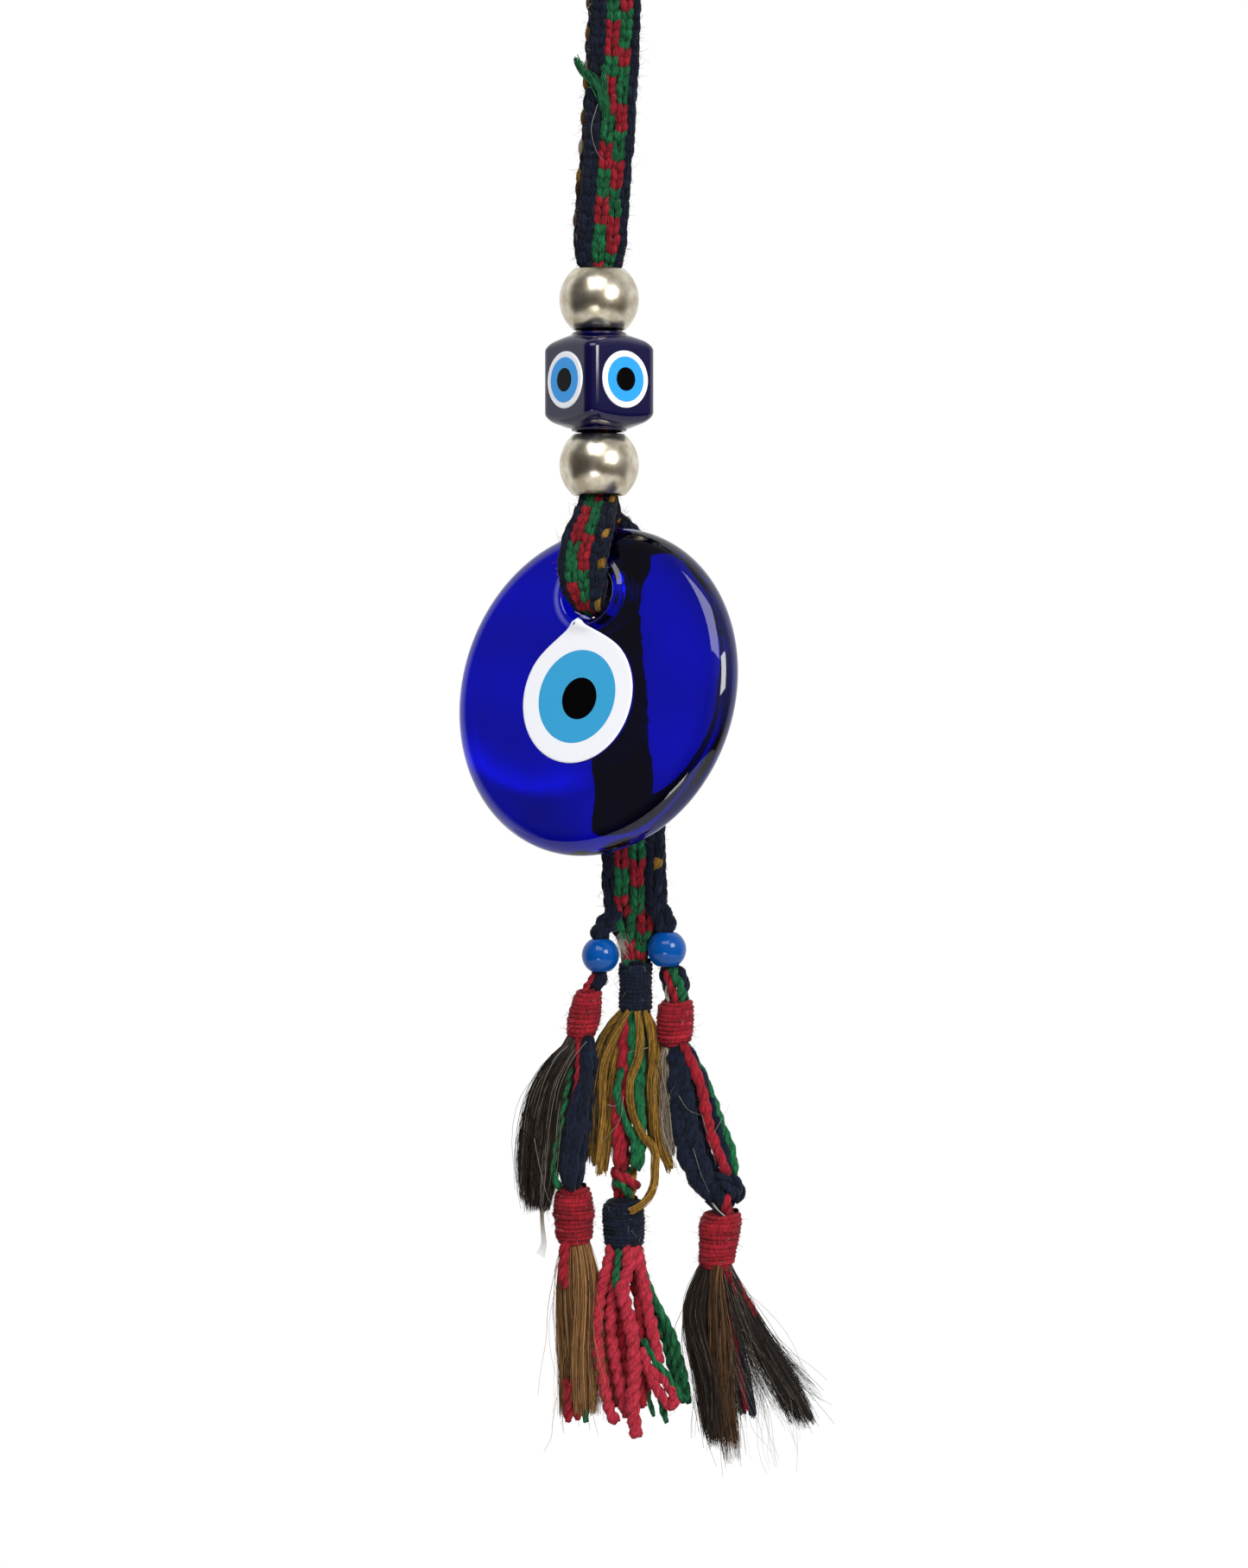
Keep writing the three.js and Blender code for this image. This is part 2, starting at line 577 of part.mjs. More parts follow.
// ---- Assembly --------------------------------------------------------------------------------
const ornament = new THREE.Group();
ornament.add(
  hangingLoop(),
  upperLayer('upper_band_front', -1),
  upperLayer('upper_band_back', 1),
  metalBead('top_metal_bead', TOP_BEAD_Z),
  cubeBead(),
  metalBead('bottom_metal_bead', BOTTOM_BEAD_Z),
  glassDisc(),
  frontStrap(),
  backStrap(),
  lowerBand(),
  bandTongue(),
  leftEdgeCord(),
  rightEdgeCord(),
  rightLinkBraid(),
  blueBead('left_blue_bead', LEFT_BEAD),
  blueBead('right_blue_bead', RIGHT_BEAD),
  ...wraps(),
  ...bundles(),
  centreKnot(),
);

export default ornament;
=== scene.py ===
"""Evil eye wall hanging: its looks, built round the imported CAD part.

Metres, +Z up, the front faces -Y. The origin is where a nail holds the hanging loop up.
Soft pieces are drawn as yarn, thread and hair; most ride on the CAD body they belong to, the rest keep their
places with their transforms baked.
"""

import json
import math

import bpy
import numpy as np
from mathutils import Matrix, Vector


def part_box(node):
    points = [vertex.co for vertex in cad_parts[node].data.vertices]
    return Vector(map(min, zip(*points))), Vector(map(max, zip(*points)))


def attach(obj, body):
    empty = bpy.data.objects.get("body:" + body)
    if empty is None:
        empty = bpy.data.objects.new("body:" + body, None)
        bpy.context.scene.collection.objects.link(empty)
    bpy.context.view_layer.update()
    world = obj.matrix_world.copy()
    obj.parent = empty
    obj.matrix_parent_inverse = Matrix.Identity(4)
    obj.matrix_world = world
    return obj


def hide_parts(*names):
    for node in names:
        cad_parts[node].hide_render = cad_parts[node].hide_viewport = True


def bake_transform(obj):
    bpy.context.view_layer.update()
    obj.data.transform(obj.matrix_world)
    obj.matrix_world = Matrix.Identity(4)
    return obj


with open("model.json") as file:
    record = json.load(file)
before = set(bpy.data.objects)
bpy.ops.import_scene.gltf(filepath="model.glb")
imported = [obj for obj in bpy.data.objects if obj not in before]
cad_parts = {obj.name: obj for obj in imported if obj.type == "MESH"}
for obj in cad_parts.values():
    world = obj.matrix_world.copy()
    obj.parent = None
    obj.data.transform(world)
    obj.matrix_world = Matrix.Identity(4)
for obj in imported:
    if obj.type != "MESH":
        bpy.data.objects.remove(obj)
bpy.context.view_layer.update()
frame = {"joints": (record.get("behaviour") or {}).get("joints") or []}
MM = 0.001
rng = np.random.default_rng(11)
DETAIL = 1.0  # share of the loose fibres drawn

SIDEWAYS = (1, 0, 0)
PITCH = 2.3  # mm from one row of stitches to the next
BAND_WIDTH = 13.2
LAYER = 2.4
LAYER_Y = 1.35
SQUEEZED_WIDTH = 9.6
SQUEEZED_LAYER = 2.1
BRAID_TOP = -34.3  # where the doubled band meets the loop
BRAID_BOTTOM = -163.0  # inside the bottom metal bead, where the straps take over
FRINGE_Y = 3.6  # how far behind the band's middle the lower wool hangs
MIDDLE = (0, 0, -0.24)  # what the lamps point at, in metres
CAMERA_PLACE = (0.00223, -1.1, -0.2381)
CAMERA_LENS = 102.5
FLOOR_Z = -0.66
FLOOR_RADIUS = 0.85


# ---- Camera, light and floor ---------------------------------------------------------------------
def camera():
    data = bpy.data.cameras.new("camera")
    data.sensor_width = 36
    data.lens = CAMERA_LENS
    eye = bpy.data.objects.new("camera", data)
    eye.location = CAMERA_PLACE
    eye.rotation_euler = (math.pi / 2, 0, 0)
    bpy.context.scene.collection.objects.link(eye)
    bpy.context.scene.camera = eye


def softbox(name, place, target, size, power, colour=(1, 1, 1)):
    data = bpy.data.lights.new(name, "AREA")
    data.shape = "RECTANGLE"
    data.size, data.size_y = size
    data.energy = power
    data.color = colour
    lamp = bpy.data.objects.new(name, data)
    lamp.location = place
    lamp.rotation_euler = (Vector(target) - Vector(place)).to_track_quat("-Z", "Y").to_euler()
    lamp.visible_camera = False
    bpy.context.scene.collection.objects.link(lamp)


def ramp_between(nodes, low, dark, high, light):
    """A colour ramp from dark at low to light at high."""
    ramp = nodes.new("ShaderNodeValToRGB")
    ramp.color_ramp.elements[0].position = low
    ramp.color_ramp.elements[0].color = (*dark, 1)
    ramp.color_ramp.elements[1].position = high
    ramp.color_ramp.elements[1].color = (*light, 1)
    return ramp


def eased(nodes, links, source, low, high, bottom=0.0, top=1.0):
    """A value that climbs smoothly from bottom to top while the source goes from low to high."""
    node = nodes.new("ShaderNodeMapRange")
    node.interpolation_type = "SMOOTHSTEP"
    for name, value in (("From Min", low), ("From Max", high), ("To Min", bottom), ("To Max", top)):
        node.inputs[name].default_value = value
    links.new(source, node.inputs["Value"])
    return node.outputs["Result"]


def room():
    """White behind the object; in front a dim room that is brighter above and towards the window."""
    world = bpy.data.worlds.new("room")
    world.use_nodes = True
    bpy.context.scene.world = world
    nodes, links = world.node_tree.nodes, world.node_tree.links
    direction = nodes.new("ShaderNodeTexCoord")
    split = nodes.new("ShaderNodeSeparateXYZ")
    links.new(direction.outputs["Generated"], split.inputs[0])
    height = ramp_between(nodes, 0.25, (0.09, 0.065, 0.05), 0.8, (0.5, 0.49, 0.46))
    links.new(eased(nodes, links, split.outputs["Z"], -1, 1), height.inputs[0])
    towards_window = eased(nodes, links, split.outputs["X"], -0.75, 0.6, 0.3, 1)
    shade = nodes.new("ShaderNodeVectorMath")
    shade.operation = "SCALE"
    links.new(height.outputs["Color"], shade.inputs[0])
    links.new(towards_window, shade.inputs["Scale"])
    mix = nodes.new("ShaderNodeMix")
    mix.data_type = "RGBA"
    colour_inputs = [socket for socket in mix.inputs if socket.type == "RGBA"]
    colour_inputs[1].default_value = (1, 1, 1, 1)
    links.new(eased(nodes, links, split.outputs["Y"], -0.12, 0.3), mix.inputs["Factor"])
    links.new(shade.outputs[0], colour_inputs[0])
    colour_output = [socket for socket in mix.outputs if socket.type == "RGBA"][0]
    links.new(colour_output, nodes["Background"].inputs["Color"])


def floor():
    bpy.ops.mesh.primitive_circle_add(vertices=96, radius=FLOOR_RADIUS, fill_type="NGON",
                                      location=(0, 0, FLOOR_Z))
    disc = bpy.context.object
    disc.name = "floor"
    material = bpy.data.materials.new("floor")
    material.use_nodes = True
    material.node_tree.nodes["Principled BSDF"].inputs["Base Color"].default_value = (0.75, 0.75, 0.74, 1)
    material.node_tree.nodes["Principled BSDF"].inputs["Roughness"].default_value = 0.8
    disc.data.materials.append(material)


def studio():
    bpy.context.scene.view_settings.view_transform = "Standard"
    room()
    floor()
    softbox("window", (0.55, -0.72, 0.12), MIDDLE, (0.42, 0.36), 6.5, (1, 0.99, 0.96))
    softbox("overhead", (-0.15, -0.85, 0.7), MIDDLE, (0.9, 0.7), 9)
    softbox("low_glow", (-0.2, -0.8, -0.62), MIDDLE, (0.3, 0.1), 0.8)


# ---- Materials -----------------------------------------------------------------------------------
def linear(code):
    """A colour written as six hexadecimal digits, in the linear values that shaders use."""
    parts = [int(code[i:i + 2], 16) / 255 for i in (0, 2, 4)]
    return tuple(p / 12.92 if p <= 0.04045 else ((p + 0.055) / 1.055) ** 2.4 for p in parts) + (1,)


def surface(name, colour, roughness, **uniform):
    """A plain Principled material; uniform gives other sockets by name, with _ for a space."""
    material = bpy.data.materials.new(name)
    material.use_nodes = True
    shader = material.node_tree.nodes["Principled BSDF"]
    shader.inputs["Base Color"].default_value = linear(colour)
    shader.inputs["Roughness"].default_value = roughness
    for socket, value in uniform.items():
        shader.inputs[socket.replace("_", " ")].default_value = value
    return material


def mottle(material, dark, light, scale, stretch=(1, 1, 1)):
    """The base colour varies between two colours with noise, drawn out along the axes of stretch."""
    nodes, links = material.node_tree.nodes, material.node_tree.links
    place = nodes.new("ShaderNodeTexCoord")
    mapping = nodes.new("ShaderNodeMapping")
    mapping.inputs["Scale"].default_value = [scale / s for s in stretch]
    noise = nodes.new("ShaderNodeTexNoise")
    noise.inputs["Scale"].default_value = 1
    noise.inputs["Detail"].default_value = 4
    ramp = ramp_between(nodes, 0.35, linear(dark)[:3], 0.65, linear(light)[:3])
    links.new(place.outputs["Object"], mapping.inputs["Vector"])
    links.new(mapping.outputs["Vector"], noise.inputs["Vector"])
    links.new(noise.outputs["Fac"], ramp.inputs[0])
    links.new(ramp.outputs["Color"], nodes["Principled BSDF"].inputs["Base Color"])
    return noise


def rough_up(material, noise, strength, distance):
    nodes, links = material.node_tree.nodes, material.node_tree.links
    bump = nodes.new("ShaderNodeBump")
    bump.inputs["Strength"].default_value = strength
    bump.inputs["Distance"].default_value = distance
    links.new(noise.outputs["Fac"], bump.inputs["Height"])
    links.new(bump.outputs["Normal"], nodes["Principled BSDF"].inputs["Normal"])


def shaded(material):
    """Scales the base colour by the mesh's own shade value, which each fibre and stitch is given: random
    tone, plus painted shade where stitches tuck under, in ply grooves, on hidden cores and deep inside hair;
    on the disc glass it also carries a painted highlight.
    """
    nodes, links = material.node_tree.nodes, material.node_tree.links
    socket = nodes["Principled BSDF"].inputs["Base Color"]
    shade = nodes.new("ShaderNodeAttribute")
    shade.attribute_name = "shade"
    product = nodes.new("ShaderNodeVectorMath")
    product.operation = "SCALE"
    if socket.is_linked:
        links.new(socket.links[0].from_socket, product.inputs[0])
    else:
        product.inputs[0].default_value = tuple(socket.default_value)[:3]
    links.new(shade.outputs["Fac"], product.inputs["Scale"])
    links.new(product.outputs[0], socket)
    return material


def wool(name, dark, light):
    """Woollen yarn: fine fibre streaks that run mostly down the object, a matt face and a slight sheen."""
    material = surface(name, light, 0.95, Sheen_Weight=0.07, Specular_IOR_Level=0.12)
    noise = mottle(material, dark, light, 2600, (1, 1, 5))
    rough_up(material, noise, 0.6, 0.0004)
    return shaded(material)


def hair_shade(name, colour, roughness=0.45):
    return shaded(surface(name, colour, roughness, Specular_IOR_Level=0.35))


def glass(name, colour):
    return surface(name, colour, 0.03, Transmission_Weight=1.0, IOR=1.5, Specular_IOR_Level=0.35)


NAVY = wool("navy_wool", "090d18", "182136")
RED = wool("red_wool", "6c1420", "a5202d")
GREEN = wool("green_wool", "0e3f27", "1f7346")
MUSTARD = wool("mustard_wool", "6b4d18", "a07830")
OLIVE = wool("olive_wool", "2e2410", "5a4419")
PINKISH_RED = wool("bright_red_wool", "8a1c2b", "b93446")
PALE_FIBRE = hair_shade("pale_fibre", "a49d92", 0.6)
BLACK_HAIR = hair_shade("black_hair", "1a1512")
BROWN_BLACK_HAIR = hair_shade("brown_black_hair", "32261f")
GREY_GLINT = hair_shade("grey_hair_glint", "7a7168")
BROWN_HAIR = hair_shade("brown_hair", "7d5731")
LIGHT_BROWN_HAIR = hair_shade("light_brown_hair", "a98052")
DEEP_BROWN_HAIR = hair_shade("deep_brown_hair", "46301f")
TAN_HAIR = hair_shade("tan_hair", "85776a")
PALE_TAN_HAIR = hair_shade("pale_tan_hair", "b5a794")
WOOLS = [NAVY, RED, GREEN, MUSTARD, PALE_FIBRE, OLIVE, TAN_HAIR]
NAVY_I, RED_I, GREEN_I, MUSTARD_I, PALE_I, OLIVE_I, TAN_I = range(7)

METAL = surface("champagne_metal", "cfc6b2", 0.27, Metallic=1.0)
rough_up(METAL, mottle(METAL, "b3a890", "d9d2c2", 300), 0.12, 0.0006)
# The disc glass colour is scaled by its shade values, which paint a highlight and shade into it.
COBALT = shaded(glass("cobalt_glass", "0306ac"))
CUBE_COBALT = surface("cube_cobalt_glass", "060540", 0.06, Transmission_Weight=0.3, IOR=1.5)
WHITE_GLASS = surface("white_glass", "f4f7ff", 0.16, Specular_IOR_Level=0.35)
AZURE_GLASS = surface("azure_glass", "39a3d8", 0.16, Specular_IOR_Level=0.45)
BRIGHT_AZURE_GLASS = surface("bright_azure_glass", "2f9aea", 0.12, Specular_IOR_Level=0.25)
BLACK_GLASS = surface("black_glass", "030304", 0.12, Specular_IOR_Level=0.08)
AZURE_BEAD = surface("azure_bead", "014a98", 0.08, Specular_IOR_Level=0.3)


# ---- Lines and tubes -----------------------------------------------------------------------------
def smooth(points, steps):
    """Rows evenly spaced along a smooth line through the given ones; length counts the first three values."""
    p = np.array(points, float)
    p = np.vstack([2 * p[0] - p[1], p, 2 * p[-1] - p[-2]])
    t = np.linspace(0, 1, 20, endpoint=False)[:, None]
    spans = []
    for a, b, c, d in zip(p, p[1:], p[2:], p[3:]):
        cubic = (-a + 3 * b - 3 * c + d) * t ** 3
        spans.append(0.5 * (2 * b + (c - a) * t + (2 * a - 5 * b + 4 * c - d) * t ** 2 + cubic))
    dense = np.vstack(spans + [p[-2]])
    along = lengths(dense)
    wanted = np.linspace(0, along[-1], steps)
    return np.stack([np.interp(wanted, along, column) for column in dense.T], axis=1)


def lengths(line):
    """Distance along a line at each of its rows."""
    steps = np.linalg.norm(np.diff(line[:, :3], axis=0), axis=1)
    return np.concatenate([[0], np.cumsum(steps)])


def unit(vectors):
    return vectors / np.maximum(np.linalg.norm(vectors, axis=-1, keepdims=True), 1e-12)


def wander(count, steps, size, pinned=True):
    """Smooth random sideways drift for each of count lines, starting from nothing where pinned."""
    t = np.linspace(0, 1, steps)[None, :, None]
    drift = np.zeros((count, steps, 3))
    for wave in (1, 2):
        phase = rng.uniform(0, 2 * math.pi, (count, 1, 3))
        drift += rng.normal(0, 1, (count, 1, 3)) * np.sin(2 * math.pi * wave * t * 0.6 + phase) / wave
    if pinned:
        drift -= drift[:, :1]
    return drift * size


def tube_frames(paths):
    """Two side directions for every point of every line, turning as little as they can."""
    tangents = unit(np.gradient(paths, axis=1))
    across = np.empty_like(tangents)
    side = np.cross(tangents[:, 0], (0.31, 0.92, 0.23))
    for i in range(paths.shape[1]):
        side = side - (side * tangents[:, i]).sum(-1, keepdims=True) * tangents[:, i]
        side = unit(side)
        across[:, i] = side
    return across, np.cross(tangents, across)


class Batch:
    """Tubes and grids gathered into one mesh. Points are in millimetres."""

    def __init__(self):
        self.points, self.quads, self.marks, self.shades, self.total = [], [], [], [], 0

    def grid(self, points, mark=0, closed_u=False, closed_v=False, shade=1.0):
        """Grids of quads: points is (count, rows, columns, 3); mark is one material index or one per grid."""
        count, rows, columns = points.shape[:3]
        self.shades.append(np.broadcast_to(shade, (count, rows, columns)).ravel())
        u = np.arange(rows if closed_u else rows - 1)
        v = np.arange(columns if closed_v else columns - 1)
        u0, v0 = np.meshgrid(u, v, indexing="ij")
        u1, v1 = (u0 + 1) % rows, (v0 + 1) % columns
        corners = [u0 * columns + v0, u0 * columns + v1, u1 * columns + v1, u1 * columns + v0]
        face = np.stack([c.ravel() for c in corners], axis=1)
        starts = self.total + np.arange(count)[:, None, None] * rows * columns
        self.quads.append((face[None] + starts).reshape(-1, 4))
        self.marks.append(np.repeat(np.broadcast_to(mark, (count,)), len(face)))
        self.points.append(points.reshape(-1, 3))
        self.total += count * rows * columns

    def tubes(self, paths, radii, sides=6, mark=0, flat=1.0, shade=1.0, around=None):
        """A tube along each line: paths (count, steps, 3), radii (count, steps); flat squashes its depth.

        shade is one value for each tube or each of its steps. around is (line, radius): painted shade darkens
        the tube towards that line, in the grooves between plies.
        """
        across, up = tube_frames(paths)
        angles = np.linspace(0, 2 * math.pi, sides, endpoint=False)
        ring = np.cos(angles)[:, None] * across[:, :, None] + flat * np.sin(angles)[:, None] * up[:, :, None]
        radii = np.broadcast_to(radii, paths.shape[:2])
        points = paths[:, :, None] + ring * radii[:, :, None, None]
        shade = np.asarray(shade, float)
        shade = shade.reshape(shade.shape + (1,) * (3 - shade.ndim))
        if around is not None:
            line, reach = around
            far = np.linalg.norm(points - line[:, :, None], axis=-1) / reach
            shade = shade * np.clip(1.5 * far - 0.42, 0.25, 1.08)
        self.grid(points, mark, closed_v=True, shade=shade)

    def piece(self, name, materials, slot, *nodes):
        """The finished mesh, standing for the CAD nodes."""
        mesh = bpy.data.meshes.new(name)
        points = np.concatenate(self.points) * MM
        quads = np.concatenate(self.quads)
        mesh.vertices.add(len(points))
        mesh.vertices.foreach_set("co", points.astype(np.float32).ravel())
        mesh.loops.add(quads.size)
        mesh.loops.foreach_set("vertex_index", quads.astype(np.int32).ravel())
        mesh.polygons.add(len(quads))
        mesh.polygons.foreach_set("loop_start", np.arange(0, quads.size, 4, dtype=np.int32))
        mesh.polygons.foreach_set("material_index", np.concatenate(self.marks).astype(np.int32))
        mesh.polygons.foreach_set("use_smooth", np.ones(len(quads), bool))
        shade = mesh.attributes.new("shade", "FLOAT", "POINT")
        shade.data.foreach_set("value", np.concatenate(self.shades).astype(np.float32))
        mesh.update(calc_edges=True)
        for material in materials:
            mesh.materials.append(material)
        shown = bpy.data.objects.new(name, mesh)
        bpy.context.scene.collection.objects.link(shown)
        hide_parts(*nodes)
        return shown


def point(corner_fractions, node):
    """A point in a CAD node's box, in millimetres: each fraction runs from its lowest side to its highest."""
    low, high = (np.array(corner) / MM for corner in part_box(node))
    return low + np.array(corner_fractions) * (high - low)


def fuzz(batch, starts, outward, reach, radius, marks):
    """Short stray fibres that leave a surface at starts, mostly outward, and curl."""
    count = len(starts)
    if count == 0:
        return
    heading = unit(outward + rng.normal(0, 0.5, (count, 3)))
    curl = rng.normal(0, 0.9, (count, 3))
    t = np.linspace(0, 1, 6)[None, :, None]
    size = rng.uniform(0.4, 1.0, (count, 1, 1)) * reach
    paths = starts[:, None] + size * (heading[:, None] * t + curl[:, None] * t ** 2 * 0.6)
    tone = rng.uniform(0.7, 1.3, count)
    batch.tubes(paths, radius * np.array([1, 1, 0.9, 0.8, 0.6, 0.3])[None], 3, marks, shade=tone)


# ---- The braid -----------------------------------------------------------------------------------
class Ribbon:
    """A flat band in space: stations are (x, y, z), width, thickness and sideways direction."""

    def __init__(self, stations):
        rows = [(*at, *side, width, thick) for at, width, thick, side in stations]
        line = smooth(rows, 160)
        self.along = lengths(line)
        self.length = self.along[-1]
        self.centre = line[:, :3]
        tangent = unit(np.gradient(self.centre, axis=0))
        side = line[:, 3:6]
        self.side = unit(side - (side * tangent).sum(1, keepdims=True) * tangent)
        self.front = np.cross(tangent, self.side)
        self.width, self.thick = line[:, 6], line[:, 7]

    def at(self, values, along):
        if values.ndim == 1:
            return np.interp(along, self.along, values)
        return np.stack([np.interp(along, self.along, column) for column in values.T], axis=-1)

    def place(self, along, across, height):
        """Points at a distance along, a share of the width across, and a height in mm from the middle."""
        side = self.at(self.side, along) * (across * self.at(self.width, along))[..., None]
        return self.at(self.centre, along) + side + self.at(self.front, along) * height[..., None]


def stitch_half(ribbon, rows, outer, inner, face, shift=0.0):
    """Centre lines of one half of a column of V stitches, from its outer edge down to its middle."""
    count = len(rows)
    t = np.linspace(0, 1, 9)[None]
    along = rows[:, None] + shift + rng.normal(0, 0.22, (count, 1)) + (t - 0.5) * 4.3
    along = np.clip(along, 0, ribbon.length)
    ease = t + 0.08 * np.sin(2 * math.pi * t)
    trim = 1 - 2.0 / ribbon.at(ribbon.width, rows)[:, None]
    across = (outer + (inner - outer) * ease) * trim + rng.normal(0, 0.012, (count, 1))
    arch = np.sin(math.pi * t) * (0.8 + rng.normal(0, 0.12, (count, 1))) - 0.5
    lift = ribbon.at(ribbon.thick, along) / 2 - 0.4
    return ribbon.place(along, across, face * (lift + arch))


LOBE = np.array([0.28, 0.66, 0.9, 1.02, 1.06, 1.02, 0.88, 0.62, 0.28])
# Painted shade along a stitch: darkest at its ends, where it tucks under its neighbours.
LOBE_SHADE = np.array([0.15, 0.42, 0.75, 0.95, 1.0, 0.95, 0.75, 0.42, 0.15])


def chequer(rows, first):
    """Marks for two columns of stitches side by side: red against green, in blocks of two to four rows."""
    marks = np.empty((2, rows), int)
    start, mark = -int(rng.integers(0, 2)), first
    while start < rows:
        stop = start + int(rng.choice([2, 3, 3, 4]))
        marks[0, max(start, 0):stop] = mark
        start, mark = stop, RED_I + GREEN_I - mark
    marks[1] = RED_I + GREEN_I - np.roll(marks[0], int(rng.choice([-1, 1])))
    return marks


def braid(batch, ribbon, edges, faces=(1, -1), flecks=0, first=RED_I):
    """V stitches in four columns between edges (shares of the width): navy, two chequered columns, navy.

    One in every flecks of the last column's outer stitches is mustard; with 0, none is.
    """
    rows = np.arange(PITCH * 0.4, ribbon.length, PITCH)
    narrow = ribbon.at(ribbon.width, rows) / BAND_WIDTH
    for face in faces:
        navy = np.full(len(rows), NAVY_I)
        columns = [navy, *chequer(len(rows), first), navy]
        for column, (left, right) in enumerate(zip(edges, edges[1:])):
            middle = (left + right) / 2
            size = min(0.98, 0.36 + (right - left) * 1.75) * narrow ** 0.5
            for half, (outer, inner) in enumerate(((left, middle), (right, middle))):
                own = columns[column].copy()
                if flecks and column == 3 and half == 1:
                    own[2::flecks] = MUSTARD_I
                lines = stitch_half(ribbon, rows, outer, inner, face)
                own_size = size * rng.normal(1, 0.1, len(rows))
                # Random tone for each stitch, times painted shade towards its ends.
                tone = rng.normal(0.9, 0.13, (len(rows), 1)) * LOBE_SHADE
                batch.tubes(lines, own_size[:, None] * LOBE[None], 8, own, flat=0.85, shade=tone)
                stitch_fibres(batch, lines, own_size, own, face * ribbon.at(ribbon.front, rows))
    for edge in (-0.5, 0.5):
        lines = stitch_half(ribbon, rows, edge, edge * 0.98, 0, 0.6)
        batch.tubes(lines, 0.74 * LOBE[None] * narrow[:, None] ** 0.5, 8, NAVY_I, shade=LOBE_SHADE[None])
    core(batch, ribbon)
    braid_fuzz(batch, ribbon, faces)


def stitch_fibres(batch, lines, size, marks, outward):
    """Loose fibres that lie along each stitch and stand just off it."""
    count, steps = lines.shape[:2]
    across = unit(np.cross(np.gradient(lines, axis=1), outward[:, None]))
    for _ in range(max(1, int(5 * DETAIL))):
        side = rng.uniform(-0.8, 0.8, (count, 1, 1))
        lift = np.sqrt(1 - side ** 2) * 0.85 + 0.12
        slide = across * side + outward[:, None] * lift
        paths = lines + slide * (size[:, None] * LOBE)[..., None] + wander(count, steps, 0.12, pinned=False)
        # Random tone for each fibre, times painted shade towards the stitch's ends.
        batch.tubes(paths, 0.055, 3, marks, shade=rng.uniform(0.6, 1.5, (count, 1)) * LOBE_SHADE)


def braid_fuzz(batch, ribbon, faces):
    """Stray fibres all over a band's faces and edges."""
    count = int(ribbon.length * 7 * DETAIL)
    along = rng.uniform(0.5, ribbon.length - 0.5, count)
    across = rng.uniform(-0.47, 0.47, count)
    across[::3] = np.sign(across[::3]) * 0.46
    face = rng.choice(faces, count).astype(float)
    starts = ribbon.place(along, across, face * ribbon.at(ribbon.thick, along) / 2)
    outward = ribbon.at(ribbon.front, along) * face[:, None] * 0.8
    outward += ribbon.at(ribbon.side, along) * (across * 2.4)[:, None]
    marks = rng.choice([NAVY_I, RED_I, GREEN_I, PALE_I], count, p=[0.45, 0.25, 0.2, 0.1])
    fuzz(batch, starts, outward, 1.6, 0.033, marks)


def core(batch, ribbon):
    """The inside of the braid, so that no light shows between the stitches; its navy is darkened with painted
    shade.
    """
    along = np.linspace(0.4, ribbon.length - 0.4, 90)
    corners = [(-0.44, -0.3), (0.44, -0.3), (0.44, 0.3), (-0.44, 0.3)]
    thick = ribbon.at(ribbon.thick, along)
    rings = [ribbon.place(along, np.full(90, across), share * thick) for across, share in corners]
    batch.grid(np.stack(rings, axis=1)[None], NAVY_I, closed_v=True, shade=0.3)


UPPER_EDGES = (-0.5, -0.2, 0.1, 0.38, 0.5)
LOWER_EDGES = (-0.5, -0.36, -0.09, 0.18, 0.5)


def station(at, width=BAND_WIDTH, thick=LAYER, side=SIDEWAYS):
    return at, width, thick, side


def loop_line():
    """The loop's stations, from the front layer's top over the nail to the back layer's top."""
    inner = 7.0
    over = inner + LAYER / 2
    bend = [math.pi * share for share in (0, 0.25, 0.5, 0.75, 1)]
    rise = [(0, -LAYER_Y, BRAID_TOP), (0, -LAYER_Y - 1.2, -28), (0, 1.4 - over, -17)]
    crown = [(0, -over * math.cos(a), over * math.sin(a) - inner) for a in bend]
    fall = [(0, over - 1.4, -17), (0, LAYER_Y + 1.2, -28), (0, LAYER_Y, BRAID_TOP)]
    return rise + crown + fall


def hanging_loop():
    batch = Batch()
    ribbon = Ribbon([station(at) for at in loop_line()])
    braid(batch, ribbon, UPPER_EDGES)
    loop = batch.piece("hanging_loop_braid", WOOLS, "braid_wool", "hanging_loop")
    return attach(loop, "hanging_band")


def upper_layer(side, sway=0.0):
    """One layer of the doubled band; side is -1 in front and 1 behind."""
    wide = [(0, BRAID_TOP), (0, -50), (-1, -70), (-2.6, -92), (-3.4, -104)]
    tight = [(-3.9, -113.5), (-3.9, -138), (-3.9, BRAID_BOTTOM)]
    squeezed_y = (SQUEEZED_LAYER + 0.3) / 2
    stations = [station((x + sway, side * LAYER_Y, z)) for x, z in wide]
    stations.append(station((-3.7, side * squeezed_y, -110), 11.8, SQUEEZED_LAYER))
    stations += [station((x, side * squeezed_y, z), SQUEEZED_WIDTH, SQUEEZED_LAYER) for x, z in tight]
    return Ribbon(stations)


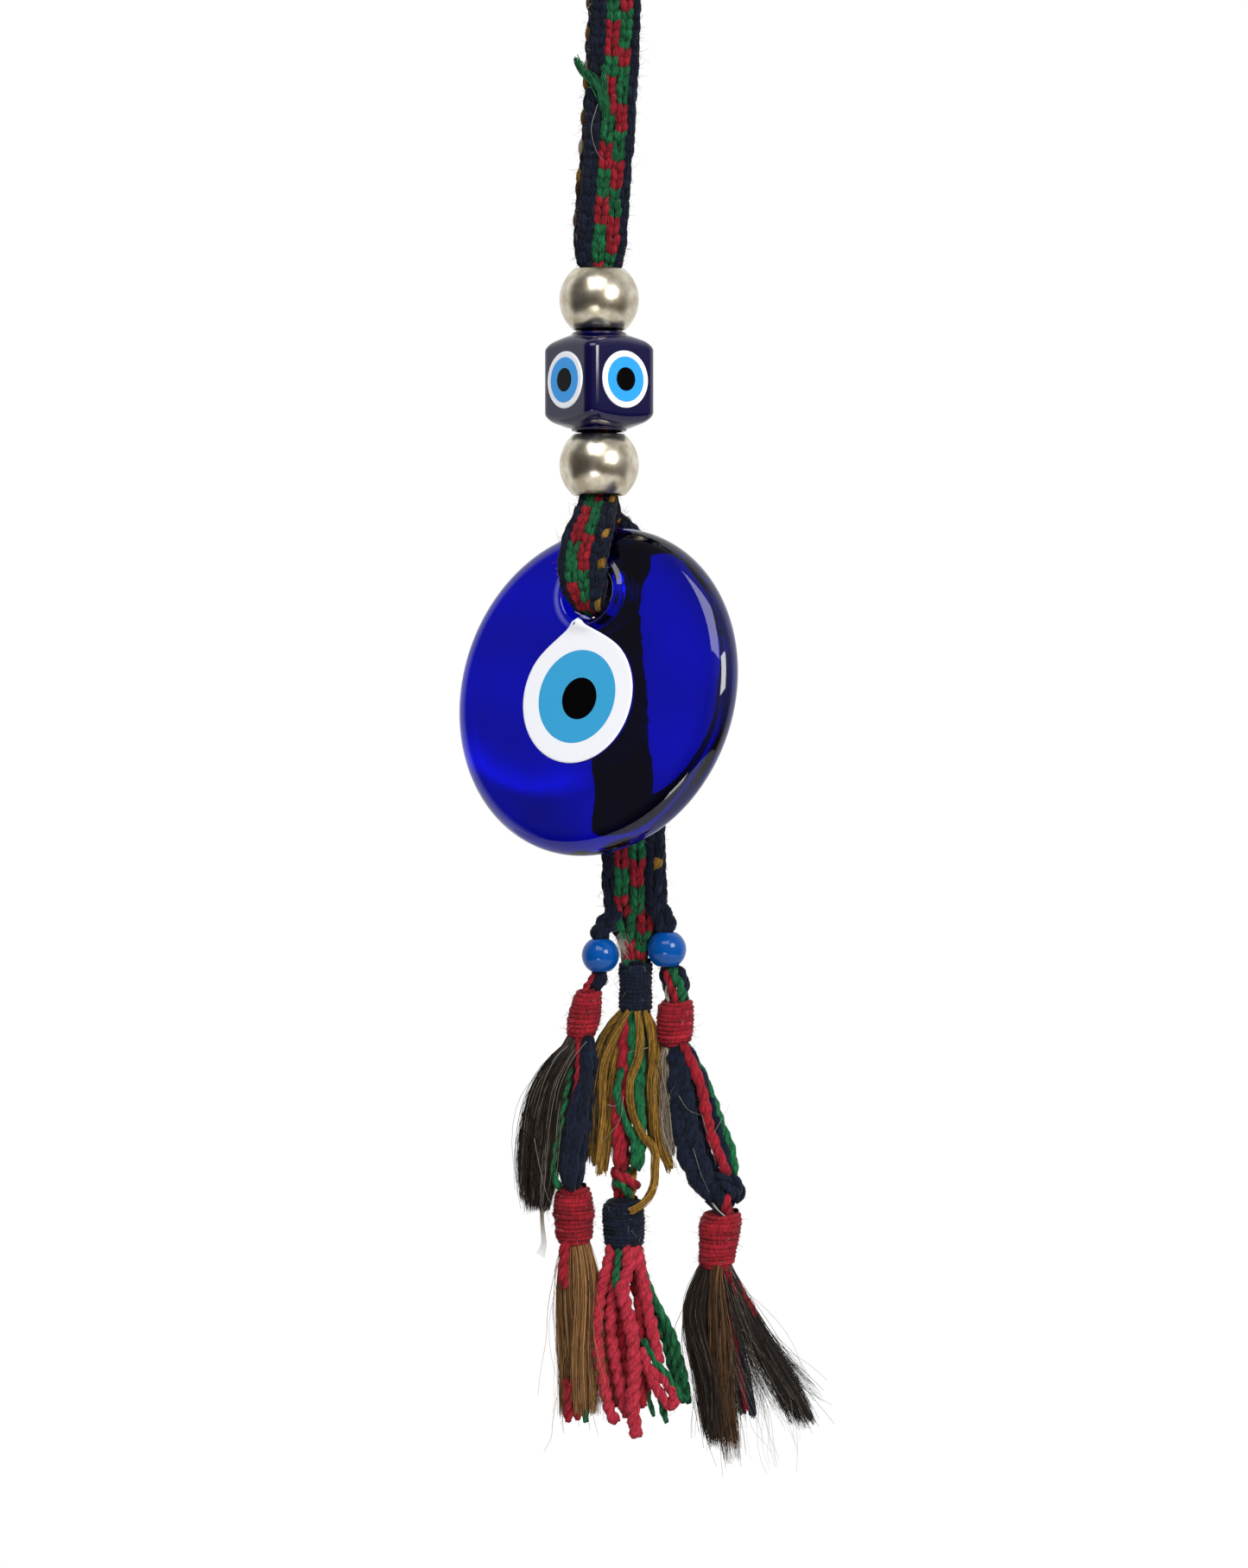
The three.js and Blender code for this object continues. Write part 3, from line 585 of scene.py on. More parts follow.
def green_tuft(batch):
    """A loose end of green wool that hangs out of the upper band's face."""
    lines = [
        ((-1.4, -2.7, -73.5), (-2.8, -3.6, -70.5), (-4.6, -3.9, -66.5), (-7.2, -3.4, -64.6),
         (-9.0, -3.2, -60.6)),
        ((-2.2, -2.7, -74), (-3.4, -3.9, -69.5), (-5.4, -3.7, -65.4), (-8.2, -3, -62.6), (-9.6, -2.8, -59.6)),
        ((-1.8, -2.7, -72), (-2.2, -3.7, -68.5), (-2.6, -3.8, -64.8), (-3.2, -3.2, -61.8)),
        ((-3.0, -2.7, -72.5), (-3.6, -3.8, -68.5), (-4.4, -3.8, -65.6), (-6.6, -3.4, -64.2)),
    ]
    for line in lines:
        roving(batch, line, 1.8, GREEN_I, fibres=16, taper=0.55)
    strand(batch, [(-4.2, -3.2, -71), (-5.8, -3.6, -77), (-4.8, -3.4, -82), (-3, -3, -85)], 0.07, PALE_I)


def hanging_band():
    batch = Batch()
    front, back = upper_layer(-1, 0.15), upper_layer(1, -0.55)
    braid(batch, front, UPPER_EDGES, faces=(1,))
    braid(batch, back, tuple(-e for e in reversed(UPPER_EDGES)), faces=(-1,))
    along = np.arange(14, front.length - 62, 6.4) + rng.normal(0, 1.6, int((front.length - 76) / 6.4) + 1)
    peek = np.stack([front.place(along + d, np.full(len(along), -0.51), np.full(len(along), -1.5))
                     for d in np.linspace(-2, 2, len(LOBE))], axis=1)
    batch.tubes(peek, 0.66 * LOBE[None], 8, rng.choice([MUSTARD_I, OLIVE_I, TAN_I], len(along)),
                shade=LOBE_SHADE)
    green_tuft(batch)
    band = batch.piece("hanging_band_braid", WOOLS, "braid_wool", "upper_band_front", "upper_band_back")
    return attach(band, "hanging_band"), (front.centre + back.centre) / 2


# ---- Yarn, thread and hair -----------------------------------------------------------------------
def strand(batch, line, radius, mark, steps=24, sides=4):
    """One thin fibre or hair."""
    path = smooth(line, steps)[None]
    thinning = np.linspace(1, 0.4, steps)
    batch.tubes(path, radius * thinning[None], sides, mark)


def yarn(batch, line, diameter, mark, pitch=None, taper=0.35, fibres=1.6, relief=0.19):
    """Two-ply yarn: plies twisted round the line under fibres that follow the twist, with stray ones."""
    pitch = pitch or diameter * 3
    total = lengths(smooth(line, 60))[-1]
    steps = max(16, int(total / pitch * 16))
    centre = smooth(line, steps)
    across, up = tube_frames(centre[None])
    across, up = across[0], up[0]
    along = np.linspace(0, total, steps)
    end = np.minimum(1, np.minimum(along, total - along) / diameter * 0.6 + taper)
    swell = end * (1 + 0.07 * np.sin(along * 0.7 + rng.uniform(0, 6)) + 0.04 * np.sin(along * 1.9))
    start = rng.uniform(0, 2 * math.pi)

    def twisted(phase, out):
        turn = 2 * math.pi * along / pitch + start + phase
        return centre + (np.cos(turn)[..., None] * across + np.sin(turn)[..., None] * up) * out[..., None]

    ply_radius = diameter * (0.53 - relief) * swell
    for phase in (0, math.pi):
        path = twisted(phase, diameter * relief * swell)
        # The plies darken towards the yarn's centre line: painted shade in the grooves between them.
        batch.tubes(path[None], ply_radius[None], 9, mark, around=(centre[None], diameter * 0.5))
    count = int(26 * DETAIL)
    phases = rng.uniform(-1.15, 1.15, (count, 1)) + rng.choice([0, math.pi], (count, 1))
    nearest = np.arccos(np.abs(np.cos(phases)))
    out = diameter * swell * (0.53 - 0.16 * np.abs(np.sin(nearest)))
    cling = wander(count, steps, diameter * 0.035, pinned=False)
    paths = twisted(phases, out * rng.uniform(0.94, 1.05, (count, 1))) + cling
    batch.tubes(paths, diameter * 0.022 + 0.012, 3, mark, shade=rng.uniform(0.55, 1.45, count))
    count = int(total * fibres * DETAIL)
    pick = rng.integers(1, steps - 1, count)
    angle = rng.uniform(0, 2 * math.pi, count)[:, None]
    outward = np.cos(angle) * across[pick] + np.sin(angle) * up[pick]
    fuzz(batch, centre[pick] + outward * diameter * 0.42, outward, 1.5, 0.028, mark)


def roving(batch, line, diameter, mark, fibres=42, taper=0.6, loose=0.12):
    """Hardly twisted yarn: a thin soft core under fibres that run along it and drift."""
    steps = 30
    fibres = int(fibres * max(DETAIL, 0.6))
    centre = smooth(line, steps)
    across, up = tube_frames(centre[None])
    t = np.linspace(0, 1, steps)
    end = np.clip(1 - (1 - taper) * t, 0.2, 1) * (1 + 0.1 * np.sin(t * 11 + rng.uniform(0, 6)))
    # The core under the fibres is darkened with painted shade.
    batch.tubes(centre[None], (diameter * 0.33 * end)[None], 9, mark, shade=0.6)
    twist = rng.uniform(5, 9)
    angle = rng.uniform(0, 2 * math.pi, (fibres, 1)) + t[None] * twist
    out = diameter * rng.uniform(0.28, 0.5, (fibres, 1)) * end[None]
    ring = np.cos(angle)[..., None] * across + np.sin(angle)[..., None] * up
    paths = centre[None] + ring * out[..., None] + wander(fibres, steps, diameter * loose)
    tone = rng.uniform(0.5, 1.35, fibres)
    batch.tubes(paths, diameter * 0.062, 4, mark, shade=tone)


def hair(batch, top, levels, count, marks, weights, radius=0.085, locks=16, ragged=0.12, stray=0.03,
         drift=1.0):
    """Hair that falls from a point through levels of (drop, across, half width, half depth)."""
    count = int(count * DETAIL)
    steps = 14
    rows = smooth([(across, 0, -drop, wide, deep) for drop, across, wide, deep in levels], 60)
    t = np.linspace(0, 1, 60)
    reach = np.sqrt(rng.uniform(0, 1, count))
    angle = rng.uniform(0, 2 * math.pi, count)
    lock = ((angle / (2 * math.pi) * 7).astype(int) * 3 + (reach * 2.99).astype(int)) % locks
    stop = 1 - ragged * rng.uniform(0, 1, count) ** 1.5 - 0.5 * ragged * rng.uniform(0, 1, locks)[lock]
    share = np.linspace(0, 1, steps)[None] * stop[:, None]
    own = [np.interp(share, t, column) for column in rows.T]
    x = own[0] + own[3] * (reach * np.cos(angle))[:, None]
    y = own[1] + own[4] * (reach * np.sin(angle))[:, None]
    paths = np.stack([x, y, own[2]], axis=-1) + np.array(top)
    paths += wander(locks, steps, 0.5 * drift)[lock] + wander(count, steps, 0.22 * drift)
    wild = rng.uniform(0, 1, count) < stray
    paths[wild] += wander(int(wild.sum()), steps, 1.3 * drift)
    thin = radius * rng.uniform(0.6, 1.2, (count, 1)) * np.linspace(1, 0.45, steps)[None]
    # Random tone for each hair and lock, times painted shade on the hairs deep inside the tuft.
    tone = rng.uniform(0.45, 1.5, count) * rng.uniform(0.75, 1.2, locks)[lock] * (0.55 + 0.45 * reach)
    batch.tubes(paths, thin, 3, rng.choice(marks, count, p=weights), shade=tone)


WRAP_DEPTH = 0.85  # a wrap is this share as deep as it is wide


def wrap(name, thread, radii, lean, turns, body, mark_slot):
    """Thread wound round a bundle between the top and bottom of its CAD node, over a closed core."""
    low, high = point((0.5, 0.5, 0), name), point((0.5, 0.5, 1), name)
    middle = (low + high) / 2
    half = (high[2] - low[2]) / 2
    batch = Batch()
    steps = int(turns * 40)
    t = np.linspace(0, 1, steps)
    z = (1 - 2 * t) * (half - 0.45)
    shoulder = 1 - 0.22 * np.clip(1 - (half - np.abs(z)) / 1.9, 0, 1) ** 1.5
    radius = np.interp(t, np.linspace(0, 1, len(radii)), radii) * shoulder
    per_turn = np.repeat(rng.normal(0, 0.07, turns + 2), 40)[:steps]
    angle = 2 * math.pi * t * turns
    slope = (0.3 + 0.2 * np.sin(t * 9 + 1)) * np.sin(angle + 0.7) + 0.14 * np.sin(2 * angle + 2)
    gauge = (2 * half) / turns * 0.6
    r = radius - gauge * 0.6 + per_turn
    x = middle[0] + lean / 2 * z / half + r * np.cos(angle)
    path = np.stack([x, middle[1] + WRAP_DEPTH * r * np.sin(angle), middle[2] + z + slope], axis=1)
    thick = gauge * (1 + 0.1 * np.sin(t * 97) + 0.06 * np.sin(t * 211 + 2))
    tone = np.repeat(rng.normal(1, 0.12, turns + 2), 40)[:steps]
    axis_line = np.stack([x - r * np.cos(angle), np.full(steps, middle[1]), middle[2] + z + slope], axis=1)
    batch.tubes(path[None], thick[None], 8, 0, shade=tone[None])
    # A thin dark thread laid in the groove between coils: painted shade.
    groove = axis_line + (path - axis_line) * (1 + gauge * 0.3 / r)[:, None]
    groove[:, 2] -= half / turns
    batch.tubes(groove[None], gauge * 0.3, 5, 0, shade=0.4)
    for _ in range(max(2, int(7 * DETAIL))):
        lie = rng.uniform(-0.75, 0.75)
        fibre = path.copy()
        fibre[:, 2] += gauge * lie + 0.08 * np.sin(angle * rng.uniform(0.3, 0.8) + rng.uniform(0, 6))
        grow = 1 + gauge * (math.sqrt(1 - lie ** 2) + 0.06) / r
        fibre[:, :2] = axis_line[:, :2] + (fibre[:, :2] - axis_line[:, :2]) * grow[:, None]
        batch.tubes(fibre[None], 0.05, 3, 0, shade=np.full(1, rng.uniform(0.55, 1.4)))
    inner = np.array([0.02, 0.74, 0.84, 1, 1, 1, 0.84, 0.74, 0.02])
    heights = np.array([-1, -1, -0.94, -0.7, 0, 0.7, 0.94, 1, 1]) * half
    spin = np.linspace(0, 2 * math.pi, 28, endpoint=False)
    barrel = np.interp(-heights / half, np.linspace(-1, 1, len(radii)), radii) - gauge * 1.1
    ring = (inner * barrel)[:, None]
    shape = np.stack([
        middle[0] + lean / 2 * (heights / half)[:, None] + ring * np.cos(spin),
        middle[1] + WRAP_DEPTH * ring * np.sin(spin),
        middle[2] + np.repeat(heights[:, None], 28, axis=1),
    ], axis=-1)
    # The core under the coils is darkened with painted shade.
    batch.grid(shape[None], 0, closed_v=True, shade=0.45)
    count = int(140 * DETAIL)
    pick = rng.integers(0, steps, count)
    outward = unit(np.stack([np.cos(angle[pick]), np.sin(angle[pick]), rng.normal(0, 0.5, count)], axis=1))
    fuzz(batch, path[pick] + outward * gauge, outward, 1.5, 0.032, rng.choice([0, 1], count, p=[0.8, 0.2]))
    bound = batch.piece(name.replace("wrap", "coils"), [thread, PALE_FIBRE], mark_slot, name)
    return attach(bound, body)


# ---- Beads and glass -----------------------------------------------------------------------------
def lathe(batch, centre, profile, segments):
    """A ring-shaped solid about the vertical through centre; profile is (radius, height) rows, closed."""
    spin = np.linspace(0, 2 * math.pi, segments, endpoint=False)
    profile = np.array(profile)
    x = profile[:, 0:1] * np.cos(spin)
    y = profile[:, 0:1] * np.sin(spin)
    z = np.repeat(profile[:, 1:2], segments, axis=1)
    batch.grid((np.stack([x, y, z], axis=-1) + np.array(centre))[None], closed_u=True, closed_v=True)


BEAD_LIP = 0.35


def bead_profile(radius, hole):
    """A round bead's section, from its lower lip round the outside to the upper one and down the hole."""
    end = math.acos((hole + BEAD_LIP) / radius)
    outside = [(radius * math.cos(a), radius * math.sin(a)) for a in np.linspace(-end, end, 48)]
    top = outside[-1][1]
    turn = np.linspace(0, math.pi / 2, 6)[1:]
    edge = [(hole + BEAD_LIP * (1 - math.sin(a)), top - BEAD_LIP * 0.5 * (1 - math.cos(a))) for a in turn]
    down = [(hole, z) for z in np.linspace(top - BEAD_LIP, BEAD_LIP - top, 8)]
    return outside + edge + down + [(r, -z) for r, z in reversed(edge)]


def bead(name, node, hole, material, slot, body, segments=96):
    low, high = point((0, 0, 0), node), point((1, 1, 1), node)
    batch = Batch()
    lathe(batch, (low + high) / 2, bead_profile((high[0] - low[0]) / 2, hole), segments)
    shown = batch.piece(name, [material], slot, node)
    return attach(shown, body)


def inlay(batch, outline, inner, front, back, edge, place):
    """A ring of glass between two outlines of (right, up) rows, its outer front edge rounded."""
    outline, inner = np.array(outline), np.array(inner)
    reach = np.linalg.norm(outline - inner, axis=1).mean()
    turn = np.linspace(0, math.pi / 2, 6)
    section = [(0, back)] + [(edge * (1 - math.cos(a)), front - edge * (1 - math.sin(a))) for a in turn]
    section += [(edge + (reach - 0.05 - edge) * share, front) for share in np.linspace(0, 1, 10)[1:]]
    section += [(reach, front), (reach, back)]
    rows = []
    for inset, ahead in section:
        flat = outline + (inner - outline) * inset / reach
        rows.append(place(np.column_stack([flat, np.full(len(flat), ahead)])))
    batch.grid(np.array(rows)[None], closed_u=True, closed_v=True)


OUTLINE_POINTS = 96  # the same for every outline, so that an inlay can join two of them


def circle(radius, centre=(0, 0)):
    angles = math.pi / 2 + np.linspace(0, 2 * math.pi, OUTLINE_POINTS, endpoint=False)
    return np.column_stack([centre[0] + radius * np.cos(angles), centre[1] + radius * np.sin(angles)])


def facing(centre, right, up):
    """A function that turns (right, up, ahead) rows on a face into points in space."""
    right, up = unit(np.array(right, float)), unit(np.array(up, float))
    axes = np.stack([right, up, np.cross(right, up)])
    return lambda rows: np.asarray(rows) @ axes + np.array(centre)


# ---- The cube bead -------------------------------------------------------------------------------
CUBE = {"half": 10.4, "corner": 3.0, "face": 8.7, "shoulder": 2.7, "collar": 0.7, "hole": 5.7}
CUBE_COLLAR_RADIUS = 6.9
CUBE_TURN = math.radians(37.7)
CUBE_FALL = 0.3  # how steeply its top and bottom fall away outside the collar
CUBE_EYE = {"white": 7.0, "iris": 5.55, "pupil": 2.9}


def rounded_square(half, corner, count):
    """A square outline with round corners, one point at each of count even angles."""
    angles = np.linspace(0, 2 * math.pi, count, endpoint=False)
    x, y = np.abs(np.cos(angles)), np.abs(np.sin(angles))
    x, y = np.maximum(x, y), np.minimum(x, y)
    flat = half / x
    middle = half - corner
    toward = middle * (x + y)
    curved = toward + np.sqrt(np.maximum(toward ** 2 - 2 * middle ** 2 + corner ** 2, 0))
    radius = np.where(flat * y <= middle, flat, curved)
    return np.column_stack([radius * np.cos(angles), radius * np.sin(angles)])


def cube_glass():
    count = 240
    low, high = point((0, 0, 0), "cube_bead"), point((1, 1, 1), "cube_bead")
    centre = (low + high) / 2
    spin = np.linspace(0, 2 * math.pi, count, endpoint=False)
    round_one = np.column_stack([np.cos(spin), np.sin(spin)])
    half, corner, face, shoulder = CUBE["half"], CUBE["corner"], CUBE["face"], CUBE["shoulder"]
    body = []
    for a in np.linspace(0, math.pi / 2, 9):
        inset = shoulder * (1 - math.cos(a))
        body.append((rounded_square(half - inset, corner - inset * 0.6, count),
                     face + shoulder * math.sin(a)))
    shoulder_row = body[-1][0]
    end = face + shoulder
    for share, lift in ((0.35, 0.12), (0.7, 0.16)):
        body.append((shoulder_row * (1 - share) + round_one * CUBE_COLLAR_RADIUS * share, end + lift))
    middle_of_collar = (CUBE_COLLAR_RADIUS + CUBE["hole"]) / 2
    tube = (CUBE_COLLAR_RADIUS - CUBE["hole"]) / 2
    for a in np.linspace(0, math.pi, 7):
        body.append((round_one * (middle_of_collar + tube * math.cos(a)),
                     end + CUBE["collar"] * math.sin(a) + 0.1))
    hole = [(round_one * CUBE["hole"], z) for z in np.linspace(end - 0.5, 0.5 - end, 8)]
    flat = [(rounded_square(half, corner, count), z) for z in np.linspace(-face, face, 8)[1:-1]]
    rows = [(outline, -z) for outline, z in reversed(body)] + flat + body + hole
    turned = np.array([[math.cos(CUBE_TURN), math.sin(CUBE_TURN)],
                       [-math.sin(CUBE_TURN), math.cos(CUBE_TURN)]])
    grid = []
    for outline, z in rows:
        fall = CUBE_FALL * np.maximum(np.linalg.norm(outline, axis=1) - CUBE_COLLAR_RADIUS, 0)
        grid.append(np.column_stack([outline @ turned, z * (1 - fall * abs(z) / end ** 2)]))
    grid = np.array(grid)
    batch = Batch()
    batch.grid((grid + centre)[None], closed_u=True, closed_v=True)
    shown = batch.piece("cube_glass", [CUBE_COBALT], "cobalt_glass", "cube_bead")
    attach(shown, "cube")
    cube_eyes(centre)


def cube_eyes(centre):
    layers = {
        "white": (WHITE_GLASS, "white_glass", CUBE_EYE["white"], CUBE_EYE["iris"], 0.35, 0.3),
        "iris": (BRIGHT_AZURE_GLASS, "azure_glass", CUBE_EYE["iris"], CUBE_EYE["pupil"], 0.42, 0.1),
        "pupil": (BLACK_GLASS, "black_glass", CUBE_EYE["pupil"], 0.02, 0.48, 0.15),
    }
    for layer, (material, slot, outer, inner, proud, edge) in layers.items():
        batch = Batch()
        for face in range(4):
            turn = CUBE_TURN + face * math.pi / 2
            right = (math.cos(turn), math.sin(turn), 0)
            place = facing(centre, right, (0, 0, 1))
            front = CUBE["half"] + proud
            inlay(batch, circle(outer), circle(inner), front, front - 1.2, edge, place)
        nodes = [f"cube_eye_{layer}_{face + 1}" for face in range(4)]
        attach(batch.piece(f"cube_{layer}_rounds", [material], slot, *nodes), "cube")


# ---- The glass disc --------------------------------------------------------------------------------
DISC = {"radius": 40.9, "rim": 5.0, "hole": 6.5, "edge": 1.6, "lip": 0.9}
DISC_HOLE = np.array([-1.8, 23.9])
DISC_EYE = {"centre": np.array([-1.8, -2.3]), "iris": 11.6, "pupil": 5.2, "roll": math.radians(7)}
TEARDROP = {"radius": 16.6, "tip": 20.1}


def disc_place():
    """The disc's own directions: right and up on its face, and ahead of it along its swing axis."""
    swing = next(joint for joint in frame["joints"] if joint["name"] == "disc_swing")
    ahead = unit(np.array(swing["axis"], float))
    if ahead[1] > 0:
        ahead = -ahead
    right = unit(np.cross((0, 0, 1), ahead))
    centre = (point((0, 0, 0), "disc_glass") + point((1, 1, 1), "disc_glass")) / 2
    return facing(centre, right, np.cross(ahead, right))


def disc_half_thickness(flat):
    """Half the disc's thickness at (right, up) rows: round at the rim and round at the hole."""
    rim, edge = DISC["rim"], DISC["edge"]
    inward = np.clip(DISC["radius"] - np.linalg.norm(flat, axis=-1), 0, rim)
    outer = np.sqrt(np.maximum(rim ** 2 - (rim - inward) ** 2, 0))
    from_hole = np.linalg.norm(flat - DISC_HOLE, axis=-1) - DISC["hole"]
    near = np.clip(from_hole, 0, edge)
    cut = edge - np.sqrt(np.maximum(edge ** 2 - (edge - near) ** 2, 0))
    return outer - cut, np.exp(-((from_hole - 2.0) / 1.3) ** 2) * DISC["lip"]


def ripple(flat):
    """Shallow waves left in the back of the glass as it cooled."""
    x, z = flat[..., 0], flat[..., 1]
    waves = 0.10 * np.sin(0.23 * x + 0.16 * z + 0.8 * np.sin(0.11 * z))
    waves += 0.05 * np.sin(0.52 * x - 0.31 * z + 1.3 * np.sin(0.17 * x))
    pooled = 0.5 * np.exp(-((x + 24) / 13) ** 2 - ((z + 21) / 3.4) ** 2)
    inside = np.clip((DISC["radius"] - np.linalg.norm(flat, axis=-1)) / 8, 0, 1)
    return (waves + pooled) * inside


def glass_tone_and_painted_light(flat):
    """Where the glass is lighter or darker: soft waves of the glass's own tone, a painted highlight in a
    bright streak low on the left with painted shade just under it, the right side painted a little lighter,
    and painted shade along the rim on the right.
    """
    x, z = flat[..., 0], flat[..., 1]
    above = z + 25 - 0.015 * (x + 12) ** 2
    fade = np.where(above > 0, 4.2, 0.9)
    left = np.clip((6 - x) / 10, 0, 1)
    # Painted highlight: a bright streak low on the left; below puts painted shade just under it.
    streak = np.exp(-(above / fade) ** 2) * left * (0.8 + 0.2 * np.sin(0.9 * x + 0.4 * z))
    below = np.clip(-above / 3, 0, 1) * left
    flow = np.sin(0.16 * x + 0.21 * z + 1.6 * np.sin(0.09 * x - 0.05 * z))
    flow = flow + 0.5 * np.sin(0.42 * x - 0.27 * z + 2 * np.sin(0.13 * z))
    inward = DISC["radius"] - np.linalg.norm(flat, axis=-1)
    # Painted shade along the rim on the right; right paints the right side a little lighter.
    rim = np.exp(-(inward / 5) ** 2) * np.clip((x + 8) / 30, 0, 1)
    right = np.clip((x - 14) / 14, 0, 1)
    return 0.88 + 0.08 * flow + 0.9 * streak - 0.3 * below + 0.12 * right - 0.6 * rim


def disc_glass(place):
    count, stations = 256, 84
    angles = np.linspace(0, 2 * math.pi, count, endpoint=False)
    round_one = np.column_stack([np.cos(angles), np.sin(angles)])
    share = (0.5 - 0.5 * np.cos(np.linspace(0, math.pi, stations)))[:, None, None]
    flat = (DISC_HOLE + DISC["hole"] * round_one) * (1 - share) + DISC["radius"] * round_one * share
    half, lip = disc_half_thickness(flat)
    front = np.concatenate([flat, (half + lip)[..., None]], axis=-1)
    back = np.concatenate([flat, -(half + 0.6 * lip + ripple(flat) * (share[..., 0] > 0))[..., None]],
                          axis=-1)
    top, bottom = front[0, :, 2], back[0, :, 2]
    wall = [np.column_stack([flat[0], top + (bottom - top) * s]) for s in np.linspace(0, 1, 8)[1:-1]]
    rows = np.concatenate([back[:-1], front[::-1], np.array(wall)])
    batch = Batch()
    batch.grid(place(rows)[None], closed_u=True, closed_v=True, shade=glass_tone_and_painted_light(rows[..., :2])[None])
    shown = batch.piece("disc_glass_body", [COBALT], "cobalt_glass", "disc_glass")
    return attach(shown, "disc")


def teardrop():
    """A round outline drawn out to a soft point at the top, as (right, up) rows by even turns."""
    radius, tip = TEARDROP["radius"], TEARDROP["tip"]
    leave = math.pi / 5
    start = radius * np.array([math.cos(leave), math.sin(leave)])
    leaving = start + 5.5 * np.array([-math.sin(leave), math.cos(leave)])
    arriving, end = np.array([3.2, 16.6]), np.array([0.35, tip - 0.12])
    t = np.linspace(0, 1, 30)[:, None]
    side = (1 - t) ** 3 * start + 3 * t * (1 - t) ** 2 * leaving
    side = side + 3 * t ** 2 * (1 - t) * arriving + t ** 3 * end
    below = np.linspace(math.pi - leave, 2 * math.pi + leave, 120)[:, None]
    round_part = radius * np.concatenate([np.cos(below), np.sin(below)], axis=1)
    mirrored = side[::-1] * (-1, 1)
    outline = np.concatenate([side, mirrored, round_part[1:-1]])
    turns = np.unwrap(np.arctan2(outline[:, 1], outline[:, 0]))
    wanted = math.pi / 2 + np.linspace(0, 2 * math.pi, OUTLINE_POINTS, endpoint=False)
    reach = np.linalg.norm(outline, axis=1)
    whole = 2 * math.pi
    inside = turns[0] + (wanted - turns[0]) % whole
    far = np.interp(inside, np.append(turns, turns[0] + whole), np.append(reach, reach[0]))
    return np.column_stack([far * np.cos(wanted), far * np.sin(wanted)])


def disc_eye(place):
    roll = DISC_EYE["roll"]
    turn = np.array([[math.cos(roll), math.sin(roll)], [-math.sin(roll), math.cos(roll)]])
    front = DISC["rim"] + 0.22

    def on_face(rows):
        rows = np.array(rows, float)
        flat = rows[:, :2] @ turn + DISC_EYE["centre"]
        climb = disc_half_thickness(flat)[1] * (rows[:, 2] > DISC["rim"] - 0.4)
        return place(np.column_stack([flat, rows[:, 2] + climb]))

    offset = (0.75, -0.6)  # the pupil was dropped a little off the iris's middle
    layers = [
        ("white", WHITE_GLASS, "white_glass", teardrop(), circle(DISC_EYE["iris"]), 0, 0.5),
        ("iris", AZURE_GLASS, "azure_glass", circle(DISC_EYE["iris"]), circle(DISC_EYE["pupil"], offset),
         0.01, 0.02),
        ("pupil", BLACK_GLASS, "black_glass", circle(DISC_EYE["pupil"], offset), circle(0.02, offset), 0.02,
         0.02),
    ]
    for layer, material, slot, outline, inner, proud, edge in layers:
        batch = Batch()
        inlay(batch, outline, inner, front + proud, front - 1.4, edge, on_face)
        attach(batch.piece(f"disc_{layer}", [material], slot, f"disc_eye_{layer}"), "disc")


# ---- Straps and lower band ---------------------------------------------------------------------------
def straps(place):
    """Both straps leave the bottom bead; the front one goes through the disc's hole, the other behind it."""
    across = tuple(place([(1, 0, 0)])[0] - place([(0, 0, 0)])[0])
    half_turned = (0.92, -0.39, 0)

    def by_the_hole(right, up, ahead):
        return tuple(place([(DISC_HOLE[0] + right, DISC_HOLE[1] + up, ahead)])[0])

    facing_out = (0.98, -0.2, 0)
    front = Ribbon([
        station((-3.9, -1.3, BRAID_BOTTOM + 0.3), 9.6, 2.1),
        station((-4.3, -1.8, -168.4), 10, 2.1),
        station((-5.2, -4.8, -173), 11.8, LAYER, facing_out),
        station(by_the_hole(0, 12.4, 8.2), 13.2, LAYER, facing_out),
        station(by_the_hole(-0.2, 8, 8.6), 13.1, LAYER, facing_out),
        station(by_the_hole(0.1, 3.4, 8.3), 13.1, LAYER, facing_out),
        station(by_the_hole(0.5, -0.8, 6.9), 12, LAYER, half_turned),
        station(by_the_hole(0.6, -3.2, 4.4), 8.6, 2.8, across),
        station(by_the_hole(0.3, -3.2, 0), 6.8, 3, across),
        station(by_the_hole(0.2, -1.8, -5.5), 6.8, 3, across),
        station(by_the_hole(0.5, -1.5, -7), 8, LAYER, across),
    ])
    back = Ribbon([
        station((-3.9, 1.3, BRAID_BOTTOM + 0.3), 9.6, 2.1), station((-3.4, 1.9, -168.4), 9.8, 2.1),
        station((-2.4, 7.0, -173), 11.2, LAYER, half_turned),
        station(by_the_hole(2, 11.5, -10), 12.6, LAYER, half_turned), station((3.0, 7.9, -190), 14, LAYER,
                                                                              half_turned),
        station((2.4, 8.3, -198), 14, LAYER, half_turned),
    ])
    joint_start, joint_end = (-0.0039, 0, -0.1645), (-0.0039, 0, -0.1715)
    for name, ribbon, node in (("front_strap_braid", front, "front_strap"),
                               ("back_strap_braid", back, "back_strap")):
        batch = Batch()
        braid(batch, ribbon, LOWER_EDGES, flecks=4, first=GREEN_I)
        strap = batch.piece(name, WOOLS, "braid_wool", node)
        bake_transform(strap)
        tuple(joint_start)
        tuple(joint_end)
    lower_band(half_turned)


